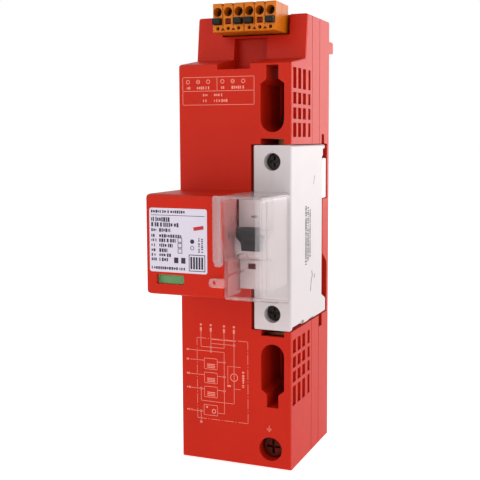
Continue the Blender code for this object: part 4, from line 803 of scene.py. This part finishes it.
@dataclass
class Nose:
    """What the nose shows: its label and the status window."""

    label_x: Span = (2.1, 28.9)
    label_z: Span = (92.4, 119.4)
    columns_x: Span = (3.0, 6.7)
    film: float = 0.12

    def build(self) -> None:
        """Lays the label and dresses the window and its flags."""
        film_y = NOSE_Y - self.film
        outline = rounded(self.label_x, self.label_z, 1.0)
        label = prism("nose_label", Axis.Y, (film_y, NOSE_Y - 0.02), outline)
        deliver(soften(label, 0.04, 1), "front_cover", LABEL_WHITE)
        ink = printed("nose_label_print", Side.FRONT, film_y, self.print_marks())
        deliver(ink, "front_cover", LABEL_INK)
        field = printed("nose_label_field", Side.FRONT, film_y, [Bar((22.7, 111.0), (27.3, 111.8), 1.5)])
        deliver(field, "front_cover", LABEL_RED)
        redress("status_window", 0.25, LENS_CLEAR, 3)
        redress("status_flag", 0.15, FLAG_GREEN)

    def print_marks(self) -> Marks:
        """Rows of blocks, a rule and plain shapes in the places of the real print."""
        marks: Marks = [Bar((2.9, 116.4), (27.9, 116.4), 0.22)]
        rows = (
            (117.9, (19.0, 1.2)),
            (114.6, (12.0, 1.9)),
            (112.4, (15.9, 1.8)),
            (110.1, (5.4, 1.3), (12.4, 1.5)),
            (107.7, (5.0, 1.2), (17.1, 1.4)),
            (105.8, (5.4, 1.2), (14.4, 1.5)),
            (103.7, (4.9, 1.2), (13.0, 1.5)),
            (101.6, (5.3, 1.2), (10.5, 1.5)),
            (99.6, (5.0, 1.2), (12.3, 1.4)),
            (97.7, (5.9, 1.2), (10.7, 1.5)),
            (94.1, (19.2, 1.2)),
        )
        words = [(left, z, *end) for z, *ends in rows for left, end in zip(self.columns_x, ends)]
        for seed, (left, z, right, tall) in enumerate(words):
            marks += blocks_in_a_row((left, right), z, tall, 50 + seed)
        for z in (101.6, 103.9, 106.2):
            marks += frame_bars((15.5, 17.3), (z - 0.9, z + 0.9), 0.26)
        marks += [Dot((22.1, 105.8), 0.95), Dot((22.1, 103.1), 0.9, 0.25)]
        marks += [Bar((13.6, 97.6), (15.6, 97.6), 2.4), Bar((16.9, 97.6), (18.9, 97.6), 2.4)]
        marks += blocks_in_a_row((101.3, 107.4), 25.2, 0.6, 81, upright=True)
        marks += blocks_in_a_row((101.3, 107.4), 26.6, 0.7, 82, upright=True)
        marks += frame_bars((20.6, 27.8), (93.5, 100.2), 0.3)
        for k in range(5):
            u = 21.6 + 1.25 * k
            marks.append(Bar((u, 94.3), (u, 99.4), 0.85))
        return marks


@dataclass
class Toggle:
    """The breaker's toggle: a grey drum that fills the dome's slot and a dark handle on it."""

    left: float = 41.62
    right: float = 49.18
    handle_left: float = 40.8
    tab_left: float = 38.9
    drum_y: float = -14.9
    drum_z: float = 103.5
    drum_radius: float = 6.25
    drum_sides: int = 96
    grooves: int = 3
    groove_edge: float = 0.9

    def build(self) -> None:
        """Models the drum and the handle, which turn together."""
        y, z = self.drum_y, self.drum_z
        span = (self.left, self.right)
        drum = rod("breaker_toggle_drum", Axis.X, span, (y, z), self.drum_radius, self.drum_sides)
        deliver(soften(drum, 0.1), "breaker_toggle", BREAKER_GREY)
        stem = self.from_drum([(-5.2, -0.9), (-7.6, -1.0), (-8.2, 3.6), (-7.6, 6.3), (-4.4, 4.0)])
        handle = prism("breaker_toggle_handle", Axis.X, (self.left + 0.3, self.right - 0.3), stem)
        under = [(-7.0, -1.1), (-9.0, -1.7), (-9.6, 1.0), (-10.6, 4.2), (-11.15, 7.3)]
        over = [(-10.7, 8.2), (-9.9, 8.5), (-7.4, 8.3), (-6.9, 5.4)]
        near, far = self.tab_left, self.handle_left
        tab = [(near, 8.2), (far + 1.0, 8.2), (far + 1.0, 1.4), (far + 0.1, 2.0), (near, 4.0)]
        grip_span = (self.handle_left, self.right - 0.05)
        additions = (
            prism("grip", Axis.X, grip_span, self.from_drum(under + over)),
            prism("side_tab", Axis.Y, (y - 10.4, y - 8.3), [(x, z + rise) for x, rise in tab]),
        )
        combine(handle, "UNION", additions)
        xs = (self.handle_left + self.groove_edge, self.right - self.groove_edge)
        grooves = [
            block("groove", xs, (y - 12, y - 10.3 + 0.3 * k), (z + 5.6 - 1.3 * k, z + 6.0 - 1.3 * k))
            for k in range(self.grooves)
        ]
        combine(handle, "DIFFERENCE", grooves)
        deliver(soften(handle, 0.35, 3), "breaker_toggle", TOGGLE_DARK, replaces=True)

    def from_drum(self, outline: Outline) -> Outline:
        """The places on the housing of an outline that is drawn from the drum's middle."""
        return [(self.drum_y + y, self.drum_z + z) for y, z in outline]


@dataclass
class Breaker:
    """The light grey breaker: two half shells, its small window, print and rail catch; its screws are
    dressed with the other clamp parts.
    """

    edge: float = 0.4
    side_x: float = 53.96
    seam_x: float = 45.155
    seam_reach: float = 0.15
    hairline: float = 0.05
    nose_y: float = -16.0
    notch_depth: float = 1.0
    heel_z: float = 63.0

    def build(self) -> None:
        """Dresses the shells and the pieces they hold, and prints the right side."""
        for half in ("left", "right"):
            node = "breaker_shell_" + half
            notches = self.heel_notches() if half == "right" else ()
            shell = refined(node, self.edge, 3, self.off_seam, notches)
            self.close_seam(shell)
            deliver(shell, node, BREAKER_GREY, replaces=True)
        redress("breaker_rail_catch", 0.3, WHITE)
        redress("breaker_indicator", 0.1, FLAG_RED)
        marks: Marks = []
        for column, (y, seed) in enumerate(((20.2, 91), (23.2, 92), (26.0, 93))):
            rows = (90.5 + 1.5 * column, 118.0 - 1.2 * column)
            marks += blocks_in_a_row(rows, y, 2.4 - 0.3 * column, seed, upright=True)
        marks += route([(26.9, 77.4), (27.6, 81.0), (29.4, 84.6), (28.6, 86.4)], 0.6)
        marks += route([(31.0, 127.2), (32.2, 130.8)], 0.45)
        marks.append(Dot((32.6, 83.6), 0.9, 0.3))
        side = printed("breaker_side_print", Side.RIGHT, self.side_x, marks)
        deliver(side, "breaker_shell_right", GREY_INK)
        words = blocks_in_a_row((42.0, 44.4), 115.5, 1.1, 96)
        front = printed("breaker_front_print", Side.FRONT, self.nose_y, words)
        deliver(front, "breaker_shell_left", GREY_INK)

    def heel_notches(self) -> list[Piece]:
        """The tools that cut the small steps in the side's lower edge."""
        xs = (self.side_x - self.notch_depth, self.side_x + 0.3)
        return [
            block("notch", xs, ys, (self.heel_z, top))
            for ys, top in (((1.6, 8.4), 64.6), ((13.4, 17.6), 65.6), ((24.0, 31.5), 64.5))
        ]

    def off_seam(self, start: Vector, end: Vector) -> bool:
        """Whether an edge has an end away from the faces where the half shells meet."""
        return max(abs(start.x - self.seam_x), abs(end.x - self.seam_x)) >= self.seam_reach

    def close_seam(self, shell: Piece) -> None:
        """Brings the meeting faces to a hairline from each other, and the side in by its ink."""
        for vert in shell.data.vertices:
            x = on_housing(vert.co).x
            off = x - self.seam_x
            if abs(off) < self.seam_reach:
                vert.co.x += (math.copysign(self.hairline / 2, off) - off) * MM
            if x > self.side_x:
                vert.co.x -= (x - self.side_x) * MM


@dataclass
class Hood:
    """The clear hood: a rounded box open to the back, with its flange, latch steps and eyelet."""

    left: float = 36.3
    right: float = 53.7
    front: float = -34.5
    back: float = -0.3
    low: float = 83.0
    heel: float = 75.8
    high: float = 125.2
    wall: float = 1.2
    corner: float = 2.4
    flange_x: float = 32.6
    step_x: float = 37.6
    step_z: float = 98.0
    step_depth: float = 14.0
    seal_at: Point = (32.9, 89.45)
    gate_at: Point = (39.0, 113.7)
    edge: float = 0.22

    def build(self) -> None:
        """Models the hood as one closed moulding."""
        front, wall, step_z = self.front, self.wall, self.step_z
        hood = self.box("clear_hood_moulding", 0.0, self.corner)
        combine(hood, "DIFFERENCE", (self.box("hood_room", wall, self.corner - wall),))
        step_y = (front - 2, front + self.step_depth)
        step = block("step", (self.left - 2, self.step_x), step_y, (self.low - 2, step_z))
        combine(hood, "DIFFERENCE", (step,))
        inner = wall - 0.2
        flange, lip = (self.flange_x, self.left + 2.0), (self.flange_x + 0.06, self.flange_x + 1.5)
        step_wall = (self.step_x - 0.04, self.step_x + wall)
        nose_wall = (self.left + 0.1, self.left + 0.9)
        upper = [(37.7, 98.3), (42.4, 100.2), (42.9, 100.9), (42.9, 101.6), (37.7, 99.4)]
        lower = [(38.0, 91.6), (41.4, 93.3), (42.0, 93.3), (42.0, 94.2), (41.0, 94.2), (38.0, 92.7)]
        additions = [
            self.plate("flange", (0.03, wall), rounded(flange, (step_z, self.high), 0.9)),
            self.rib("flange_lip", lip, (0.5, 2.4), (step_z + 0.9, self.high - 0.9)),
            self.rib("step_wall", step_wall, (0.6, 13.9), (self.low + 0.6, step_z + 1.0)),
            self.rib("flange_rib", (34.5, 34.95), (0.09, 1.9), (108.2, 123.6)),
            self.rib("nose_side_wall", nose_wall, (0.7, 13.9), (step_z + 0.3, self.high - 0.6)),
            self.plate("eyelet", (0.07, 1.5), rounded((30.7, self.step_x + 1.0), (87.6, 91.3), 1.5)),
            self.plate("knob", (0.11, 2.2), rounded((32.5, 36.4), (102.7, 106.9), 1.2)),
            self.plate("lug", (0.15, 2.3), rounded((33.2, 36.2), (96.2, 102.0), 0.9)),
            self.plate("upper_latch", (inner, 9.0), upper),
            self.plate("lower_latch", (inner, 11.0), lower),
            self.rib("side_rib", (self.right - 0.6, self.right + 0.28), (6.3, 7.5), (86.0, 123.0)),
        ]
        combine(hood, "UNION", additions)
        hole = rod("seal_hole", Axis.Y, (front - PAST, front + 3), self.seal_at, 0.9, 24)
        combine(hood, "DIFFERENCE", (hole,))
        boss = rod("gate_mark", Axis.Y, (front + inner, front + wall + 0.35), self.gate_at, 2.9, 48)
        combine(hood, "UNION", (boss,))
        deliver(soften(hood, self.edge), "clear_hood", HOOD_CLEAR, replaces=True)
        self.haze_and_painted_light(hood)

    def plate(self, name: str, depths: Span, outline: Outline) -> Piece:
        """A flat form drawn back from the hood's front, between two depths behind it."""
        return prism(name, Axis.Y, (self.front + depths[0], self.front + depths[1]), outline)

    def rib(self, name: str, xs: Span, depths: Span, zs: Span) -> Piece:
        """A straight rib or wall between two depths behind the hood's front."""
        return block(name, xs, (self.front + depths[0], self.front + depths[1]), zs)

    def haze_and_painted_light(self, hood: Piece) -> None:
        """Gives walls, flange and latches a whitish haze that is partly real and partly painted sheen and
        highlight, and the front right corner a whiter painted highlight.
        """
        for haze in (HOOD_HAZE_AND_SHEEN, HOOD_HAZE_AND_HIGHLIGHT, HOOD_PAINTED_HIGHLIGHT):
            hood.data.materials.append(haze)
        for face in hood.data.polygons:
            x, y, z = on_housing(face.center)
            # Faces that take a whiter haze: partly real haze, partly painted sheen on the side and top
            # walls and painted highlights on knobs, rib, rims, flange and lower edge.
            on_knobs = 32.5 < x < 36.3 and 96.3 < z < 106.8
            on_rib = 34.4 < x < 35.0 and z > self.step_z + 9
            on_wall = x > self.right - self.wall - 0.1 or z > self.high - self.wall - 0.1
            # Painted highlight: the front right corner's faces take the whiter polycarbonate.
            on_painted_highlight = x > self.right - self.corner - 0.1 and 0.12 < face.normal.x < 0.9
            on_rim = x < self.left and abs(face.normal.y) < 0.95
            on_step = x < self.step_x + self.wall and y > self.front + 0.65
            if on_painted_highlight and y < self.front + self.corner:
                face.material_index = 3
            elif on_wall or on_knobs or on_rib or on_rim:
                face.material_index = 1
            elif x < self.left or z < self.low + 1.3 or on_step:
                face.material_index = 2

    def box(self, name: str, inset: float, radius: float) -> Piece:
        """The hood's outer or inner form: its lower wall slants, front and right edges are rounded.

        Args:
            name: Name of the piece.
            inset: How far it lies inside the outer form; the inner form runs out at back and left.
            radius: Radius of its rounded edges.

        Returns:
            The form.
        """
        past = 2.0 if inset else 0.0
        left, right = self.left - past, self.right - inset
        front, back = self.front + inset, self.back + past
        low, high = self.low + inset, self.high - inset
        form = block(name, (left, right), (front, back), (low, high))
        with editing(form):
            pick_edges(lambda a, b: max(a.z, b.z) < low + 1 and min(a.y, b.y) > back - 1)
            bpy.ops.transform.translate(value=(0.0, 0.0, (self.heel - self.low) * MM))
            pick_edges(
                lambda a, b: (max(a.y, b.y) < front + 1 or min(a.x, b.x) > right - 1)
                and min(a.y, b.y) < back - 1
                and max(a.x, b.x) > left + 1
            )
            bpy.ops.mesh.bevel(offset=radius * MM, segments=6, affect="EDGES")
        return form


@dataclass
class Plugs:
    """The two orange plugs on top with their buttons, headers, clamp springs and pole marks."""

    left: float = 13.5
    pitch: float = 5.08
    front: float = 7.8
    top: float = 208.3
    hole_z: float = 204.5
    test_z: float = 197.2
    latch_z: float = 200.3
    edge: float = 0.16

    def build(self) -> None:
        """Dresses each plug."""
        for order, side in enumerate(("left", "right")):
            start = self.left + order * 3 * self.pitch
            self.plug("plug_" + side, start)
            redress("header_" + side, 0.12, ORANGE)

    def plug(self, node: str, start: float) -> None:
        """One plug: notches between its poles, springs in its wire entries with dark blocks behind them
        as painted shade, marks below.

        Args:
            node: Name of the plug's CAD node.
            start: X of its left side.
        """
        body = refined(node, 0.0)
        top, hole, latch_z = self.top, self.hole_z, self.latch_z
        notches = []
        marks: Marks = []
        for k in (1, 2):
            x = start + k * self.pitch
            notches.append(self.across("notch", x, 0.7, (-1.0, 1.4), (top - 1.1, top + 1)))
            notches.append(self.across("groove", x, 0.2, (-1.0, 0.5), (self.test_z + 1.1, top + 1)))
            for row in range(4):
                half = 0.95 - 0.25 * row
                z = self.test_z - 0.75 + 0.32 * row
                marks.append(Bar((x - half, z), (x + half, z), 0.33))
        combine(body, "DIFFERENCE", notches)
        deliver(soften(body, self.edge), node, ORANGE, replaces=True)
        deliver(printed(node + "_pole_marks", Side.FRONT, self.front, marks), node, MARK_INK)
        # The springs are real parts, their dark steel partly painted shade deep in the wire entries.
        for k in range(3):
            x = start + (k + 0.5) * self.pitch
            name = f"{node}_spring_{k + 1}"
            spring = self.across(name, x, 1.5, (4.4, 4.9), (hole - 1.2, hole + 0.4))
            with editing(spring):
                pick_edges(lambda a, b: min(a.z, b.z) > hole and min(a.y, b.y) > self.front + 4.6)
                bpy.ops.transform.translate(value=(0.0, 1.6 * MM, 0.3 * MM))
            deliver(soften(spring, 0.08, 1), node, DARK_STEEL_AND_PAINTED_SHADE)
            # Painted shade: a dark steel block deep in each wire entry, where the entry's own shade
            # falls.
            name = f"{node}_clamp_{k + 1}"
            clamp = self.across(name, x, 1.9, (5.2, 6.6), (hole - 1.9, hole + 1.9))
            deliver(soften(clamp, 0.1, 1), node, DARK_STEEL_AND_PAINTED_SHADE)
        x = start + 1.5 * self.pitch
        latch = self.across(node + "_latch", x, 1.3, (0.5, 1.6), (latch_z - 0.9, latch_z + 0.9))
        deliver(soften(latch, 0.15), node, MARK_INK)
        for name in ("left", "right"):
            redress(f"{node}_button_{name}", 0.2, BUTTON_BLACK)

    def across(self, name: str, x: float, half: float, depths: Span, zs: Span) -> Piece:
        """A block centred on an X, between two depths behind the plug's front."""
        ys = (self.front + depths[0], self.front + depths[1])
        return block(name, (x - half, x + half), ys, zs)


def dress_clamps_and_back() -> None:
    """Dresses the clamps' screws and cages, the bar contacts and the locking slides."""
    for clamp in ("breaker_upper", "breaker_lower", "earth"):
        # Painted shade and reflection: the earth screw takes the dark red steel.
        finish = EARTH_STEEL_SHADE_AND_REFLECTION if clamp == "earth" else DARK_STEEL_AND_PAINTED_SHADE
        redress(clamp + "_clamp_screw", 0.14, finish)
        redress(clamp + "_clamp_cage", 0.15, STEEL)
    for pole in ("l1", "l2", "l3", "n"):
        redress("bar_contact_" + pole, 0.12, TINNED)
    for side in ("upper", "lower"):
        redress("locking_slide_" + side, 0.3, SLIDE_DARK)


INNER_FINISHES = {
    "breaker_grey": BREAKER_GREY,
    "flag_red": FLAG_RED,
    "copper": COPPER,
    "steel": STEEL,
    "board_green": BOARD_GREEN,
    "moulding_dark": COMPOUND,
    "wire_blue": WIRE_BLUE,
}


def dress_inner_nodes() -> None:
    """Gives each CAD node that is still shown the finish of its slot."""
    for name, node in frame["nodes"].items():
        if not node.hide_render:
            node.data.materials.clear()
            node.data.materials.append(INNER_FINISHES[SUBPARTS[name]])


@dataclass
class Studio:
    """Pale floor, soft lamps and the camera at the photograph's angle."""

    camera_mm: Place = (179.8, -346.7, 149.0)
    yaw: float = 20.7
    pitch: float = -5.63
    shift_x: float = -0.083
    shift_y: float = -0.04
    focal_pixels: float = 852.8
    picture: float = 480.0
    sensor: float = 36.0
    world: float = 0.4
    floor_glow: float = 0.65
    floor_size: float = 8.0
    floor_drop: float = 0.0002
    aim_mm: Place = (27.0, 10.0, 104.0)

    def build(self) -> None:
        """Sets the stage."""
        self.camera()
        self.floor()
        self.sky()
        self.lamp("key_softbox", (-420.0, -950.0, 560.0), 0.9, 4.9)
        self.lamp("right_softbox", (1250.0, 300.0, 260.0), 1.6, 12.0)
        self.lamp("edge_strip", (640.0, -660.0, 280.0), 0.1, 1.4, 0.8)
        self.lamp("rear_right_softbox", (850.0, 1500.0, 200.0), 1.2, 13.0)
        bpy.context.scene.view_settings.view_transform = "Standard"

    def camera(self) -> None:
        """The camera, matched to the photograph's 480 pixel square frame."""
        data = bpy.data.cameras.new("camera")
        data.sensor_width = self.sensor
        data.lens = self.focal_pixels / self.picture * self.sensor
        data.shift_x = self.shift_x
        data.shift_y = self.shift_y
        data.clip_start = 0.01
        camera = bpy.data.objects.new("camera", data)
        camera.location = spot(*self.camera_mm)
        camera.rotation_euler = (math.radians(90 + self.pitch), 0.0, math.radians(self.yaw))
        bpy.context.scene.collection.objects.link(camera)
        bpy.context.scene.camera = camera

    def lamp(self, name: str, place: Place, width: float, watts: float, height: float = 0.0) -> None:
        """A softbox that faces the middle of the object.

        Args:
            name: Name of the lamp.
            place: Where it hangs.
            width: Its width in metres.
            watts: Its power.
            height: Its height in metres, where it isn't square.
        """
        data = bpy.data.lights.new(name, "AREA")
        data.shape = "RECTANGLE"
        data.size = width
        data.size_y = height or width
        data.energy = watts
        lamp = bpy.data.objects.new(name, data)
        lamp.location = spot(*place)
        aim = spot(*self.aim_mm) - lamp.location
        lamp.rotation_euler = aim.to_track_quat("-Z", "Y").to_euler()
        bpy.context.scene.collection.objects.link(lamp)

    def floor(self) -> None:
        """A wide pale floor that shows white and keeps the object's shadow."""
        bpy.ops.object.select_all(action="DESELECT")
        bpy.ops.mesh.primitive_plane_add(size=self.floor_size, location=(0.0, 0.0, -self.floor_drop))
        floor = settle("floor")
        material, tree, _ = blank("white_paper_floor")
        paper = {"Base Color": linear("#F4F4F4"), "Roughness": 0.9, "Specular IOR Level": 0.1}
        glow = {"Emission Color": linear("#FFFFFF"), "Emission Strength": self.floor_glow}
        show(tree, add(tree, "BsdfPrincipled", {**paper, **glow}))
        floor.data.materials.append(material)

    def sky(self) -> None:
        """A white surround for the eye and for gloss, and a softer one for the light it gives."""
        world = bpy.data.worlds.new("studio")
        world.use_nodes = True
        tree = world.node_tree
        tree.nodes.clear()
        rays = add(tree, "LightPath").outputs
        first = add(tree, "Math", {"operation": "LESS_THAN", 1: 0.5}, {0: rays["Diffuse Depth"]})
        past_glass = {0: first.outputs[0], 1: rays["Is Transmission Ray"]}
        seen = add(tree, "Math", {"operation": "MULTIPLY"}, past_glass)
        for kind in ("Is Camera Ray", "Is Glossy Ray"):
            either = {0: rays[kind], 1: seen.outputs[0]}
            seen = add(tree, "Math", {"operation": "MAXIMUM"}, either)
        strengths = {"To Min": self.world, "To Max": 1.0}
        strength = add(tree, "MapRange", strengths, {"Value": seen.outputs[0]})
        white = {"Color": linear("#FFFFFF")}
        background = add(tree, "Background", white, {"Strength": strength.outputs[0]})
        output = add(tree, "OutputWorld")
        tree.links.new(background.outputs[0], output.inputs["Surface"])
        bpy.context.scene.world = world


def main() -> None:
    """Builds the dressed model and its stage."""
    logging.basicConfig(level=logging.INFO, format="%(message)s")
    for group in (Housing(), FrontPrint(), Nose(), Breaker(), Toggle(), Hood(), Plugs()):
        group.build()
    dress_clamps_and_back()
    dress_inner_nodes()
    Studio().build()


if __name__ == "__main__":
    main()
